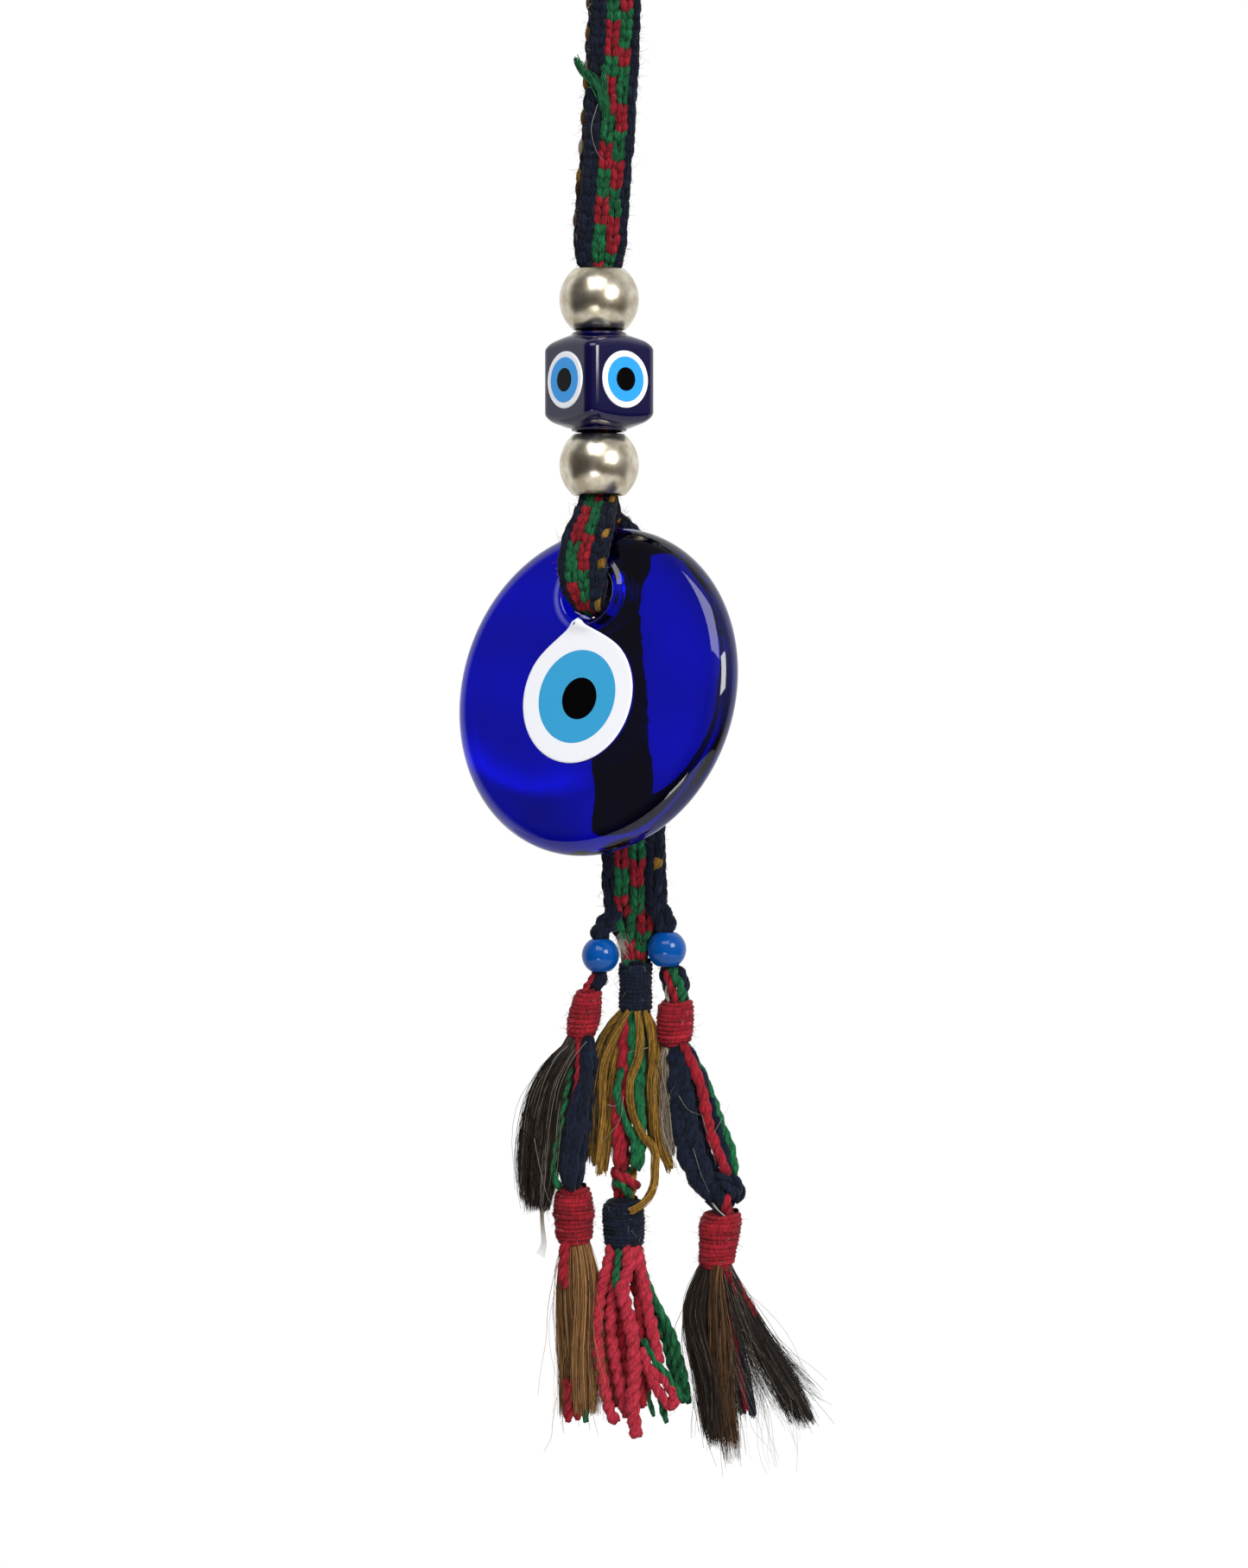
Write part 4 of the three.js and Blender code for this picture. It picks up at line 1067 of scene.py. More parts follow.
def lower_band(half_turned):
    ribbon = Ribbon([
        station((2.4, 8.2, -197.2), 14, LAYER, half_turned), station((3.6, 6.6, -220), 15, LAYER,
                                                                     half_turned),
        station((4.7, 4.6, -245), 16), station((4.8, FRINGE_Y, -262), 16.4), station((4.8, FRINGE_Y, -271),
                                                                                     15.4),
    ])
    batch = Batch()
    braid(batch, ribbon, LOWER_EDGES, flecks=8)
    band = batch.piece("lower_band_braid", WOOLS, "braid_wool", "lower_band")
    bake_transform(band)
    tongue = Ribbon([
        station((4.9, FRINGE_Y, -268), 13.6), station((4.9, FRINGE_Y, -273.5), 12.4),
        station((4.8, FRINGE_Y, -277.5), 8.4), station((4.9, FRINGE_Y, -283), 7.4),
    ])
    batch = Batch()
    braid(batch, tongue, (-0.5, -0.48, 0.02, 0.48, 0.5))
    for _ in range(int(60 * DETAIL)):
        x, z = rng.normal(1.5, 0.5), rng.normal(-278.5, 1.2)
        bend = rng.normal(0, 1.0, 2)
        strand(batch, [(x, 2.0, z + 1.6), (x + bend[0], 1.3, z), (x + bend[1], 1.9, z - 1.8)], 0.045,
               PALE_I, 8, 3)
    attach(batch.piece("band_tongue_braid", WOOLS, "red_wool", "band_tongue"), "lower_band")


# ---- Cords for the small beads -------------------------------------------------------------------------
def edge_cords():
    left, right = point((0.5, 0.5, 0.5), "left_blue_bead"), point((0.5, 0.5, 0.5), "right_blue_bead")
    batch = Batch()
    x, y, z = left
    outer = [(-0.6, 3.4, -266), (-1.0, 3, -269.6), (-3.2, 2.4, -272.2), (-4.4, 2.4, -274.6), (x, y, z + 3),
             (x, y, z - 3), (-4.4, 3, -286), (-6.0, 3.4, -290)]
    inner = [(0.4, 3.0, -267), (0.2, 2.0, -270.6), (-1.4, 1.8, -273), (-2.6, 2.2, -275),
             (x + 0.4, y - 0.2, z + 3),
             (x + 0.4, y, z - 3), (-3.2, 2.6, -285), (-4.6, 3, -290)]
    red = [(x, y, z - 2), (-5.2, 2.6, -285.4), (-7.2, 2.6, -288.4), (-7.6, 3.4, -290.5)]
    yarn(batch, outer, 3.1, NAVY_I, pitch=7)
    yarn(batch, inner, 2.9, NAVY_I, pitch=7)
    yarn(batch, red, 1.5, RED_I)
    cord = batch.piece("left_edge_yarns", WOOLS, "navy_wool", "left_edge_cord")
    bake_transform(cord)
    batch = Batch()
    x, y, z = right
    outer = [(11.2, 3.2, -264), (12.0, 2.6, -268.5), (13.6, 1.8, -272), (x + 0.3, y, z + 3), (x, y, z - 3),
             (13.6, 2, -285)]
    inner = [(9.6, 3, -264), (9.9, 2.0, -269), (11.2, 1.2, -272.8), (x - 0.5, y, z + 3), (x - 0.2, y, z - 3),
             (13, 2.2, -285)]
    yarn(batch, outer, 3.0, NAVY_I, pitch=7)
    yarn(batch, inner, 3.0, NAVY_I, pitch=7)
    cord = batch.piece("right_edge_yarns", WOOLS, "navy_wool", "right_edge_cord")
    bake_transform(cord)
    link_braid()


def link_braid():
    """Three yarns, navy, green and red, plaited between the right bead and its wrap."""
    batch = Batch()
    lines = [
        (NAVY_I,
         [(13.2, 2.4, -282), (15.6, 1.8, -284.4), (17.0, 2, -287), (16.6, 2.8, -290.6), (15, 3.2, -293)]),
        (GREEN_I, [(13.8, 1.8, -283), (15, 0.6, -285.6), (16.2, 0.6, -288.4), (16.4, 2, -291.8)]),
        (RED_I, [(12.4, 2.4, -283), (13.4, 1.4, -286.4), (14.2, 0.9, -289), (15.2, 1.8, -292.4)]),
        (NAVY_I, [(12.2, 3.6, -282), (12.4, 3.2, -286), (13.4, 3.4, -289.6), (13.8, 3.4, -293)]),
        (PALE_I, [(12.9, 2.2, -287.5), (12.7, 1.9, -289.6), (13.2, 2, -292)]),
    ]
    for (mark, line), size in zip(lines, (2.9, 2.5, 2.3, 2.6, 0.9)):
        yarn(batch, line, size, mark, pitch=6.5, taper=0.6)
    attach(batch.piece("right_link_yarns", WOOLS, "green_wool", "right_link_braid"), "right_group")


# ---- Tassels -----------------------------------------------------------------------------------------
LEANS = {
    "centre_upper_wrap": 0.0, "left_upper_wrap": 2.1, "right_upper_wrap": 0.4,
    "left_lower_wrap": -0.4, "centre_lower_wrap": -0.5, "right_lower_wrap": 1.4,
}


def under(node):
    """The middle of a wrap's lower end."""
    return point((0.5, 0.5, 0), node) - (LEANS[node] / 2, 0, 0)


def hung(node, line, depth=0.0):
    """A line given as (across, down) from under a wrap, at a depth in front of it or behind it."""
    x, y, z = under(node)
    return [(x + across, y + depth, z - drop) for across, drop in line]


def hung_yarns(batch, node, rows, **style):
    """A yarn for each row of (material index, line, depth, diameter) from under a wrap."""
    for mark, line, depth, size in rows:
        yarn(batch, hung(node, line, depth), size, mark, **style)


def wraps():
    wrap("centre_upper_wrap", NAVY, (4.1, 3.9, 3.8, 3.9, 4.0), 0.0, 12, "lower_band", "navy_wool")
    wrap("left_upper_wrap", RED, (3.2, 3.3, 3.8, 3.9, 3.7, 3.2), 2.1, 11, "left_group", "red_wool")
    wrap("right_upper_wrap", RED, (3.7, 4.3, 4.4, 4.2, 3.9), 0.4, 11, "right_group", "red_wool")
    wrap("left_lower_wrap", RED, (3.6, 4.7, 4.8, 4.4, 4.2), -0.4, 13, "left_tail", "red_wool")
    wrap("centre_lower_wrap", NAVY, (4.2, 5.0, 5.0, 4.8, 4.6), -0.5, 12, "centre_tail", "navy_wool")
    wrap("right_lower_wrap", RED, (4.6, 5.1, 4.8, 4.4, 4.3), 1.4, 13, "right_tail", "red_wool")


def pivot_blend(piece):
    """Bakes the piece's transform into its mesh; it is not attached to a body."""
    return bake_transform(piece)


def left_upper():
    node = "left_upper_wrap"
    batch = Batch()
    levels = [(-1.5, -0.8, 2.3, 2.2), (1.5, -1.9, 3.2, 2.6), (5, -4.2, 4.6, 3.2), (10, -6.9, 5.2, 3.6),
              (16, -8.7, 5.5, 3.8),
              (23, -10.0, 5.4, 3.8), (30, -10.7, 5.1, 3.6), (36, -10.8, 4.4, 3.2), (42, -10.8, 3.4, 2.4)]
    hair(batch, under(node), levels, 2600, [0, 1, 2], [0.6, 0.28, 0.12], locks=29, stray=0.008, drift=1.3)
    for shift in np.linspace(-0.5, 0.7, 7):
        line = [(-9.6 + shift, 36), (-9.6 + shift * 0.7, 44), (-9.2 + shift, 50),
                (-10.1 + shift * 1.5, 53 + shift)]
        strand(batch, hung(node, line, -0.6), 0.1, 2)
    for line in (((-11.4, 24), (-9.6, 33), (-7.9, 38.7), (-6.4, 40.4)),
                 ((-3, 1), (-6, 4), (-9, 10), (-11.5, 19)),
                 ((1.5, 0), (-2, 4.5), (-5.0, 11), (-6.2, 17))):
        strand(batch, hung(node, line, -4.2), 0.1, 2)
    tuft = batch.piece("left_hair", [BLACK_HAIR, BROWN_BLACK_HAIR, GREY_GLINT], "dark_hair", "left_hair_tuft")
    pivot_blend(tuft)
    batch = Batch()
    yarn(batch,
         hung(node, [(-1.0, -1.5), (-3.6, 11.7), (-5.1, 20.6), (-6.8, 29.2), (-6.6, 33.4), (-5.0, 36.6)],
              -1.2),
         2.1, GREEN_I, pitch=9, taper=0.6)
    yarn(batch, hung(node, [(-0.6, -1.5), (-0.8, 8), (-1.5, 15.3), (-2.3, 21)], -2.6), 1.3, RED_I, pitch=6)
    for line, depth, size in (
        ([(1.2, -1.5), (0.9, 8), (-1.5, 16.4), (-2.2, 22.8), (-3.2, 31), (-2.4, 37)], -2.4, 2.8),
        ([(2.2, -1.5), (3.2, 7), (2.3, 16.4), (0.6, 25), (-0.3, 31), (-1.3, 37)], -1.4, 2.8),
        ([(1.8, -1.5), (1.9, 9), (0.7, 18), (-1.0, 26), (-1.9, 32), (-2.0, 37)], -3.2, 2.6),
        ([(0.6, -1.5), (0.4, 9), (-1.2, 19), (-2.4, 28), (-2.6, 37)], 0.8, 3.0),
        ([(2, -1.5), (2.6, 9), (1.4, 20), (0.3, 29), (-1.3, 37)], 1.6, 3.0),
        ([(0.2, -1.5), (-1.4, 12), (-3.2, 21), (-4.3, 30), (-3.3, 36.8)], -0.6, 2.4),
    ):
        yarn(batch, hung(node, line, depth), size, NAVY_I, pitch=14, taper=0.5, relief=0.1)
    yarns = batch.piece("left_yarns", WOOLS, "navy_wool", "left_yarn_strands")
    pivot_blend(yarns)


def centre_upper():
    node = "centre_upper_wrap"
    left = [
        ([(-1.6, -1), (-4.2, 3.2), (-6.6, 8.6), (-8.0, 13.9), (-8.1, 24.5), (-8.7, 33), (-9.0, 39)], -3.0,
         1.9),
        ([(-1.4, -1), (-3.4, 5.4), (-5.1, 10.7), (-6.0, 18.6), (-6.8, 28.8), (-7.7, 38.4)], -1.2, 2.1),
        ([(-2.4, -1), (-6.4, 2.8), (-8.7, 7.5), (-9.8, 16), (-10.2, 26.6), (-9.8, 37)], -1.0, 2.2),
        ([(-2.2, -1), (-5.8, 3.4), (-7.8, 9), (-8.8, 18), (-9.2, 28), (-8.4, 36)], 1.4, 2.4),
        ([(-1.6, -1), (-3.8, 6), (-5.6, 14), (-6.6, 24), (-7.4, 34)], 1.8, 2.4),
        ([(-1.2, -1), (-2.6, 5), (-4.2, 11), (-5.2, 20), (-6.2, 30)], 0.4, 2.2),
    ]
    batch = Batch()
    for line, depth, size in left:
        roving(batch, hung(node, line, depth), size * 0.95, MUSTARD_I, loose=0.14)
    mass = [(-1, -2.0, 1.6, 1.8), (4, -5.4, 2.6, 2.6), (10, -7.4, 3.4, 3), (20, -8.4, 4.2, 3.2),
            (37, -9.2, 3.4, 2.4)]
    behind = under(node) + (0, 1.2, 0)
    hair(batch, behind, mass, 900, [OLIVE_I, MUSTARD_I, TAN_I], [0.66, 0.16, 0.18], radius=0.1, ragged=0.25)
    piece = batch.piece("centre_left_mustard_yarns", WOOLS, "mustard_wool", "centre_mustard_left")
    pivot_blend(piece)
    right = [
        ([(2.0, -1), (3.8, 5.4), (4.1, 16), (4.7, 26.6), (6.0, 33), (8.3, 37.5)], -2.2, 2.0),
        ([(2.2, -1), (4.6, 4), (5.4, 14), (5.6, 24), (7.0, 31), (8.7, 38)], -0.4, 2.2),
        ([(2.0, -1), (3.0, 7.5), (2.8, 18), (3.4, 28), (5.2, 35)], 0.9, 2.2),
        ([(2.4, -1), (4.4, 6), (4.8, 16), (5.4, 27), (6.8, 34)], 1.8, 2.2),
    ]
    batch = Batch()
    for line, depth, size in right:
        roving(batch, hung(node, line, depth), size * 0.95, MUSTARD_I, loose=0.14, taper=0.45)
    mass = [(-1, 2.0, 1.4, 1.6), (6, 3.8, 2, 2.4), (16, 4.4, 2.2, 2.6), (26, 5.4, 2.4, 2.4),
            (35, 7.4, 1.6, 1.6)]
    hair(batch, behind, mass, 420, [OLIVE_I, MUSTARD_I, TAN_I], [0.7, 0.2, 0.1], radius=0.1, ragged=0.25)
    piece = batch.piece("centre_right_mustard_yarns", WOOLS, "mustard_wool", "centre_mustard_right")
    pivot_blend(piece)
    batch = Batch()
    wavy = [(0.4, -1), (1.1, 5.4), (0.5, 11.3), (-1.3, 16), (-1.2, 22.4), (1.3, 29.2), (4.6, 33), (4.7, 37.5)]
    wavy += [(4.4, 42), (2.2, 46), (-1.4, 48.4)]
    roving(batch, hung(node, wavy, -4.2), 1.9, MUSTARD_I, loose=0.07, taper=0.9)
    hung_yarns(batch, node, (
        (GREEN_I, [(-0.8, -1), (-0.6, 7.5), (-0.8, 12.2), (1.2, 24.5), (1.3, 33), (0.6, 38.5)], -2.8, 2.6),
        (GREEN_I, [(-3.4, 13), (-4.6, 20), (-2.1, 27.1), (-0.4, 31.3), (-0.4, 37.8)], -3.4, 2.0),
        (GREEN_I, [(0.8, -1), (1.3, 9), (1.2, 20), (0.6, 28), (-0.5, 37.8)], -1.2, 2.4),
        (GREEN_I, [(1.4, -1), (2, 9), (2.2, 20), (1.4, 30), (0.2, 38)], 0.8, 2.4),
        (RED_I,
         [(-1.4, -1), (-3.0, 7.5), (-3.0, 13.9), (-2.8, 18.6), (-4.4, 24.5), (-3.8, 30.9),
          (-3.2, 38.6)], -1.8, 3.1),
        (RED_I, [(-1.0, -1), (-2.0, 8), (-2.2, 16), (-2.6, 26), (-2.8, 34), (-2.6, 38.8)], -0.2, 2.8),
        (RED_I, [(-0.4, -1), (-1.0, 8), (-1.4, 18), (-2.2, 28), (-3.4, 38)], 1.6, 2.6),
        (RED_I, [(-4.4, 18), (-5.0, 24), (-4.6, 31), (-4.6, 38.2)], -2.2, 2.3),
        (RED_I, [(1.0, -1), (1.8, 12), (0.8, 24), (-0.8, 37.5)], 2.2, 2.6),
    ), pitch=10, taper=0.5, relief=0.13)
    for line in (((3, 8), (0.6, 8.6), (-2, 9.2)), ((-7, 22), (-5.6, 22.4), (-4.4, 22)),
                 ((-3, 20), (-4, 26), (-8, 31))):
        strand(batch, hung(node, line, -4.4), 0.06, PALE_I)
    core_piece = batch.piece("centre_core_strands", WOOLS, "red_wool", "centre_core_yarns")
    pivot_blend(core_piece)
    centre_tie()


def centre_tie():
    """The yarns are tied in a small knot above the lower wrap."""
    batch = Batch()
    x, y, z = point((0.5, 0.5, 0.5), "centre_knot")
    tie = [(x - 2.6, y - 2.2, z + 2.6), (x + 0.2, y - 3.2, z + 1.0), (x + 2.4, y - 2.4, z - 0.6),
           (x + 2.8, y + 0.4, z - 1)]
    yarn(batch, tie, 2.5, RED_I, pitch=7, taper=0.7)
    green = [(x - 2.6, y - 1.8, z + 0.2), (x - 0.4, y - 2.8, z - 0.6), (x + 0.8, y - 2.4, z - 2.4),
             (x + 0.6, y, z - 3.6)]
    yarn(batch, green, 2.3, GREEN_I, pitch=7, taper=0.7)
    for across, mark in ((-2.4, RED_I), (-0.8, RED_I), (0.8, GREEN_I), (2.0, MUSTARD_I)):
        line = [(x + across, y, z + 3.6), (x + across * 0.9, y - 0.6, z), (x + across * 0.7, y, z - 4.4)]
        yarn(batch, line, 2.4, mark, pitch=7, taper=0.6)
    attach(batch.piece("centre_tie", WOOLS, "red_wool", "centre_knot"), "centre_strands")


def right_upper():
    node = "right_upper_wrap"
    batch = Batch()
    levels = [(-1.5, -1.6, 1.2, 1.6), (2, -2.0, 1.6, 2.0), (8, -2.0, 2.0, 2.4), (18, -1.7, 2.1, 2.4),
              (24, -1.3, 1.7, 1.8), (28, -0.9, 1.0, 1.2)]
    hair(batch, under(node), levels, 620, [0, 1], [0.7, 0.3], radius=0.1, locks=9, stray=0.05)
    tuft = batch.piece("right_hair", [TAN_HAIR, PALE_TAN_HAIR], "grey_hair", "right_hair_tuft")
    pivot_blend(tuft)
    batch = Batch()
    for mark, line, depth, size in (
        (NAVY_I, [(0.2, -1), (0.4, 10.4), (1.4, 21), (3.7, 29.6), (7.0, 35), (10.6, 38)], -1.6, 4.2),
        (NAVY_I, [(1.4, -1), (2.5, 8.3), (4.0, 18.9), (6.4, 27.5), (9.2, 34.3), (11.6, 38.2)], -2.2, 4.2),
        (NAVY_I, [(0.8, -1), (1.5, 8.3), (2.8, 17), (5.2, 26.4), (8.2, 33), (11.2, 38)], 0.2, 4.2),
        (NAVY_I, [(0.4, -1), (0.8, 10), (2.2, 20), (4.6, 29), (7.9, 36), (11.2, 39)], 1.8, 4.0),
        (NAVY_I, [(2.0, -1), (4.2, 9), (5.8, 19), (8.4, 28), (11.2, 34.5)], -0.6, 3.2),
        (NAVY_I, [(2.2, -1), (6.0, 6.2), (8.3, 12.6), (10.2, 18.9), (12.0, 25.3), (13.4, 31.5)], -1.2, 2.8),
        (NAVY_I, [(2.2, -1), (5.2, 7), (7.6, 15), (10.2, 23), (13.0, 31.5)], 1.2, 2.8),
        (RED_I, [(1.9, -1), (4.7, 5.1), (6.8, 10.9), (7.9, 16.8), (9.4, 22.8), (11.8, 28.5), (13, 32)],
         -3.4, 2.7),
        (GREEN_I, [(2.4, -1), (7.0, 7.2), (9.5, 13.6), (11.8, 20), (14, 25.6), (15.1, 32)], -0.8, 2.3),
    ):
        yarn(batch, hung(node, line, depth), size, mark, pitch=12 if mark == NAVY_I else 8, taper=0.5,
             relief=0.13)
    for line in (((1.0, 12), (3.4, 15.5), (7, 17)), ((6.8, 17), (8.2, 22), (10.2, 29)),
                 ((9.8, 21), (12.4, 16.4), (13.4, 14)),
                 ((4.6, 25), (6.4, 31), (8.6, 36))):
        strand(batch, hung(node, line, -4.4), 0.045, PALE_I)
    yarns = batch.piece("right_yarns", WOOLS, "navy_wool", "right_yarn_strands")
    pivot_blend(yarns)
    right_tie()


def right_tie():
    """A navy half hitch over the right yarns, with a red thread below it."""
    x, y, z = point((0.5, 0.5, 0.5), "right_knot") - (1.1, 0, 0)
    batch = Batch()
    over = [(x - 3.6, y - 1.6, z + 2.6), (x - 0.8, y - 3.4, z + 3.6), (x + 2.4, y - 2.2, z + 2.4),
            (x + 3.8, y, z - 0.2),
            (x + 3, y + 1.6, z - 3)]
    under_it = [(x - 3.4, y - 1.4, z + 0.6), (x - 1, y - 3.4, z + 1.6), (x + 1.8, y - 3, z + 0.2),
                (x + 3, y - 1.4, z - 2.4)]
    round_it = [(x - 2.8, y - 1.2, z - 1), (x - 1.2, y - 2.6, z - 0.4), (x - 0.6, y - 2.0, z - 3),
                (x - 1.2, y, z - 4.6)]
    for line, size in ((over, 2.8), (under_it, 2.7), (round_it, 2.6)):
        yarn(batch, line, size, NAVY_I, pitch=9, taper=0.6)
    for across in (-1.8, 0.2, 1.9):
        line = [(x + across, y + 0.6, z + 4), (x + across, y + 0.8, z), (x + across * 0.7 - 0.8, y, z - 5.4)]
        yarn(batch, line, 2.8, NAVY_I, pitch=9, taper=0.6)
    red = [(x + 0.2, y - 2.8, z - 0.6), (x + 0.5, y - 2.9, z - 2.8), (x + 0.2, y - 1.6, z - 6.4)]
    yarn(batch, red, 2.5, RED_I, pitch=8, taper=0.7)
    for shift in np.linspace(-1, 1, 9):
        line = [(x - 4 + shift, y - 1.6, z - 2.6), (x - 2.4 + shift * 0.6, y - 2.8, z - 4.4),
                (x + 0.6 + shift * 0.4, y - 3.6, z - 7)]
        strand(batch, line, 0.11, PALE_I if shift > 0.4 else NAVY_I)
    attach(batch.piece("right_tie", WOOLS, "navy_wool", "right_knot"), "right_strands")


def left_lower():
    node = "left_lower_wrap"
    batch = Batch()
    levels = [(-1.5, 0.2, 3.2, 2.8), (4, 0.5, 4.2, 3.4), (12, 0.8, 4.9, 3.8), (25, 1.3, 5.3, 3.9),
              (36, 2.2, 6.0, 3.8), (43.5, 2.7, 6.4, 3.4)]
    hair(batch, under(node), levels, 2300, [0, 1, 2], [0.44, 0.28, 0.28], locks=23, ragged=0.13, stray=0.06)
    for line in (((-4.4, 38), (-5.4, 44), (-5.8, 48), (-7.6, 51.5)), ((4, 40), (5.2, 45), (6, 47.5))):
        strand(batch, hung(node, line), 0.07, 0)
    shades = [BROWN_HAIR, LIGHT_BROWN_HAIR, DEEP_BROWN_HAIR, RED, GREEN]
    hung_yarns(batch, node, (
        (3, [(-2.6, -1), (-2.8, 3), (-3.0, 6.2), (-2.8, 9.6)], -3.2, 2.2),
        (3, [(-1.6, -1), (-2.2, 4), (-2.2, 8), (-2.6, 11)], -2.8, 1.8),
        (3, [(-1.8, 33), (-1.6, 38), (-1.5, 43.8)], -1.8, 2.6),
        (3, [(0.2, 34), (0.5, 39), (0.8, 43.4)], -1.4, 2.3),
        (4, [(2.0, 34), (2.4, 39), (2.8, 44)], -1.2, 1.9),
    ), pitch=7, taper=0.6)
    tassel = batch.piece("left_tassel_hair", shades, "brown_hair", "left_lower_tassel")
    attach(tassel, "left_tail")


def centre_lower():
    node = "centre_lower_wrap"
    materials = [PINKISH_RED, RED, PALE_FIBRE, GREEN]
    batch = Batch()
    hung_yarns(batch, node, (
        (0,
         [(-3.0, -1.5), (-4.6, 5), (-6.0, 11), (-6.9, 18), (-6.7, 25), (-5.2, 33.5), (-3.6, 40),
          (-1.9, 42.6)], -1.8, 2.9),
        (0, [(-1.4, -1.5), (-2.6, 8), (-3.5, 17.7), (-2.6, 26.2), (-0.9, 34.5), (0.5, 41.4)], -0.6, 3.0),
        (0, [(0.9, -1.5), (0.9, 4), (-0.6, 9.5), (0.4, 14.5), (1.9, 21), (2.4, 29), (2.0, 38), (2.9, 46)],
         -2.9, 3.5),
        (0, [(2.4, -1.5), (4.4, 7), (5.5, 13.4), (7.0, 20.9), (8.6, 28)], -1.8, 3.1),
        (1, [(2.8, -1.5), (4.0, 9), (3.4, 20), (3.2, 30), (4.4, 39)], -0.2, 3.1),
        (1, [(1.6, -1.5), (2.8, 9), (4.6, 18), (5.0, 28), (5.2, 37)], 1.8, 3.1),
        (1, [(-2.2, -1.5), (-3.6, 9), (-4.6, 19), (-3.6, 30), (-2, 39)], 1.6, 3.0),
        (1, [(0.0, -1.5), (-0.8, 9), (-0.8, 20), (0.2, 31), (1.2, 40)], 1.4, 3.1),
        (0,
         [(4.2, 24), (6.6, 31.5), (9.0, 35.8), (11.4, 38.6), (12.2, 36.2), (10, 32.4), (6.6, 29.8),
          (4.6, 28)], -2.4, 2.7),
    ), pitch=6.6, taper=0.7, fibres=2.4, relief=0.15)
    yarn(batch, hung(node, [(-1.2, -1.5), (-1.8, 4), (-2.6, 9.5)], -3.2), 1.8, 3, pitch=6)
    tassel = batch.piece("centre_tassel_yarns", materials, "red_wool", "centre_lower_tassel")
    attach(tassel, "centre_tail")
    batch = Batch()
    for line, depth, size in (
        ([(2.2, -1.2), (4.6, 6.5), (7.6, 13.4), (11.2, 20), (13.9, 28.3), (15.9, 38.3)], 0.6, 2.1),
        ([(2.2, -1.2), (6.0, 9.6), (8.9, 16), (11.6, 24), (13.0, 32), (14.4, 38.3)], 1.2, 2.0),
        ([(2.0, -1.2), (5.6, 11), (8.6, 19), (11, 27), (12.4, 34), (13.6, 38)], 2.4, 2.0),
        ([(4.4, 21.9), (7.4, 27.3), (10.4, 30.7), (12.9, 34.7), (14.8, 37)], -2.6, 1.8),
        ([(8.6, 36.5), (9.5, 40), (10.4, 43)], 0.2, 1.7),
        ([(5.0, 34), (6.2, 38), (7.2, 41.5)], 0.8, 1.4),
    ):
        yarn(batch, hung(node, line, depth), size, GREEN_I, pitch=7, taper=0.6)
    greens = batch.piece("centre_green_strands", WOOLS, "green_wool", "centre_green_yarns")
    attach(greens, "centre_tail")


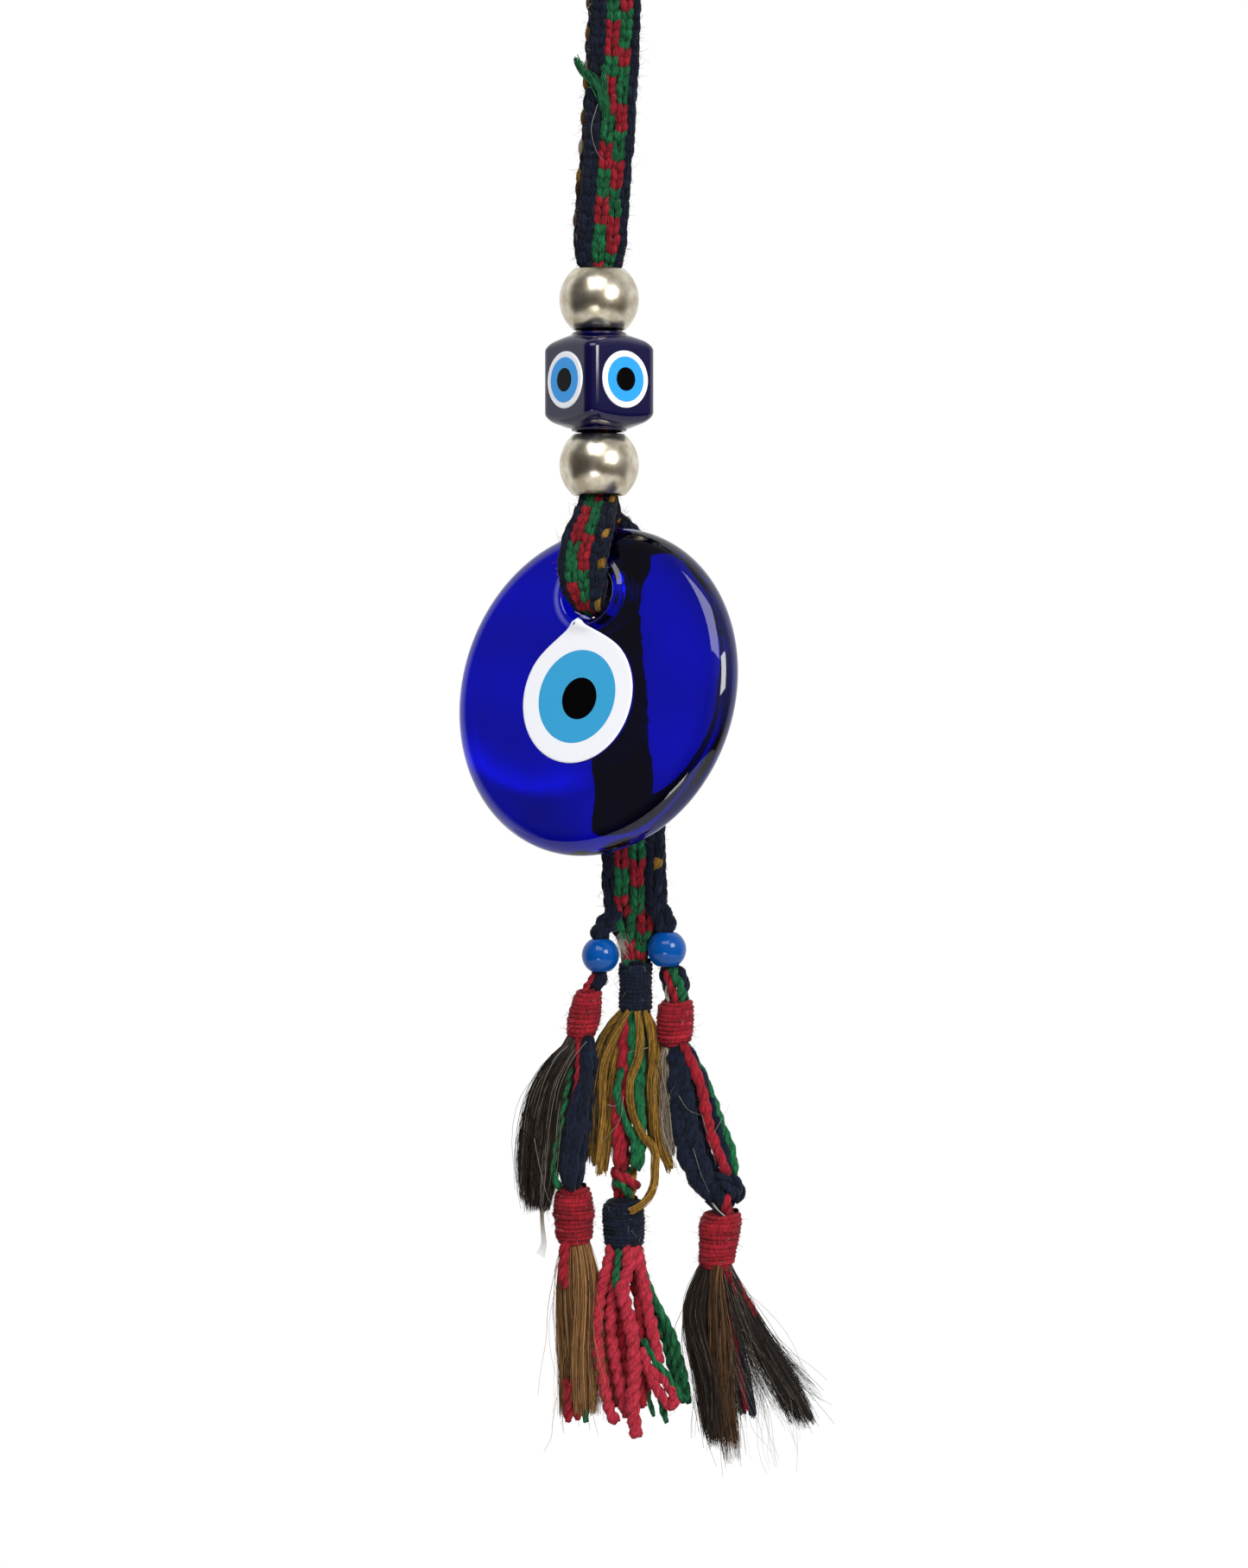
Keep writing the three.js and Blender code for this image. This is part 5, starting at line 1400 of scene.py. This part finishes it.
def right_lower():
    node = "right_lower_wrap"
    batch = Batch()
    left = [(-1.5, -0.9, 2.9, 2.6), (5, -2.2, 4.2, 3.2), (12, -3.0, 5.2, 3.6), (20, -2.4, 5.4, 3.6),
            (31, -0.2, 4.9, 3.4), (44, 1.4, 4.2, 2.6)]
    hair(batch, under(node), left, 1600, [0, 1, 2, 4], [0.5, 0.3, 0.05, 0.15], locks=21, stray=0.03,
         drift=1.3)
    brown = [(-1.5, 0.2, 1.6, 1.2), (6, -0.2, 1.8, 1.6), (14, 0.0, 2.4, 1.8), (28, 0.9, 3.2, 1.8),
             (46, 3.8, 2.8, 1.6)]
    hair(batch, under(node) + (0, -2.6, 0), brown, 300, [3, 4, 1], [0.4, 0.35, 0.25], locks=13, drift=1.5)
    right = [(-1.5, 1.6, 1.8, 2.2), (7, 5.4, 2.2, 2.4), (15, 9.6, 2.6, 2.6), (25, 15.2, 3.4, 2.6),
             (39, 22.6, 3.6, 2.0)]
    hair(batch, under(node), right, 760, [0, 1, 2], [0.75, 0.2, 0.05], locks=9, stray=0.06)
    haze = [(-1.5, 1.0, 2.4, 2.2), (8, 3.0, 4.0, 2.6), (18, 6.6, 7.0, 2.8), (28, 10.6, 9.5, 2.8),
            (37, 14.6, 12, 2.4)]
    hair(batch, under(node), haze, 700, [0, 1, 2], [0.4, 0.3, 0.3], radius=0.05, locks=13, ragged=0.3,
         stray=0.2)
    tips = [(-1.5, 1.6, 1.6, 1.6), (14, 9, 2, 2), (24, 17, 2.4, 2), (32.5, 26, 2.6, 1.4)]
    hair(batch, under(node), tips, 110, [0, 1], [0.7, 0.3], locks=5, ragged=0.25, stray=0.1)
    wisps = [(20, 8, 6, 2), (34, 12, 9, 2), (46, 14, 10, 2), (53, 15.5, 9, 2)]
    hair(batch, under(node), wisps, 26, [0, 2], [0.6, 0.4], radius=0.05, ragged=0.5, stray=0.9)
    for mark, line, depth, size in (
        (5, [(1.8, -1), (3.6, 3), (5.6, 5.8), (8.0, 9), (9.6, 12)], -1.6, 2.0),
        (5, [(1.2, -1), (3.4, 10), (5.4, 22), (7.4, 35)], -0.6, 1.6),
        (6, [(1.6, -1), (4.2, 11), (6.6, 23), (9.0, 36.5)], -0.4, 2.2),
        (6, [(1.2, -1), (2.8, 11), (4.8, 23), (6.8, 36)], 0.4, 2.2),
    ):
        roving(batch, hung(node, line, depth), size, mark, taper=0.3)
    shades = [BLACK_HAIR, BROWN_BLACK_HAIR, GREY_GLINT, BROWN_HAIR, DEEP_BROWN_HAIR, RED, NAVY]
    tassel = batch.piece("right_tassel_hair", shades, "dark_hair", "right_lower_tassel")
    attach(tassel, "right_tail")


def build():
    camera()
    studio()
    loop = hanging_loop()
    band, middle = hanging_band()
    bead("top_bead", "top_metal_bead", 6.0, METAL, "champagne_metal", "top_bead")
    bead("bottom_bead", "bottom_metal_bead", 6.0, METAL, "champagne_metal", "bottom_bead")
    cube_glass()
    place = disc_place()
    disc_glass(place)
    disc_eye(place)
    straps(place)
    edge_cords()
    bead("left_bead", "left_blue_bead", 2.0, AZURE_BEAD, "azure_bead", "left_bead", 64)
    bead("right_bead", "right_blue_bead", 2.0, AZURE_BEAD, "azure_bead", "right_bead", 64)
    wraps()
    left_upper()
    centre_upper()
    right_upper()
    left_lower()
    centre_lower()
    right_lower()
    path = middle[::-4] * MM
    tuple(path[0])
    float(lengths(path)[-1])
    [tuple(row) for row in path]


build()
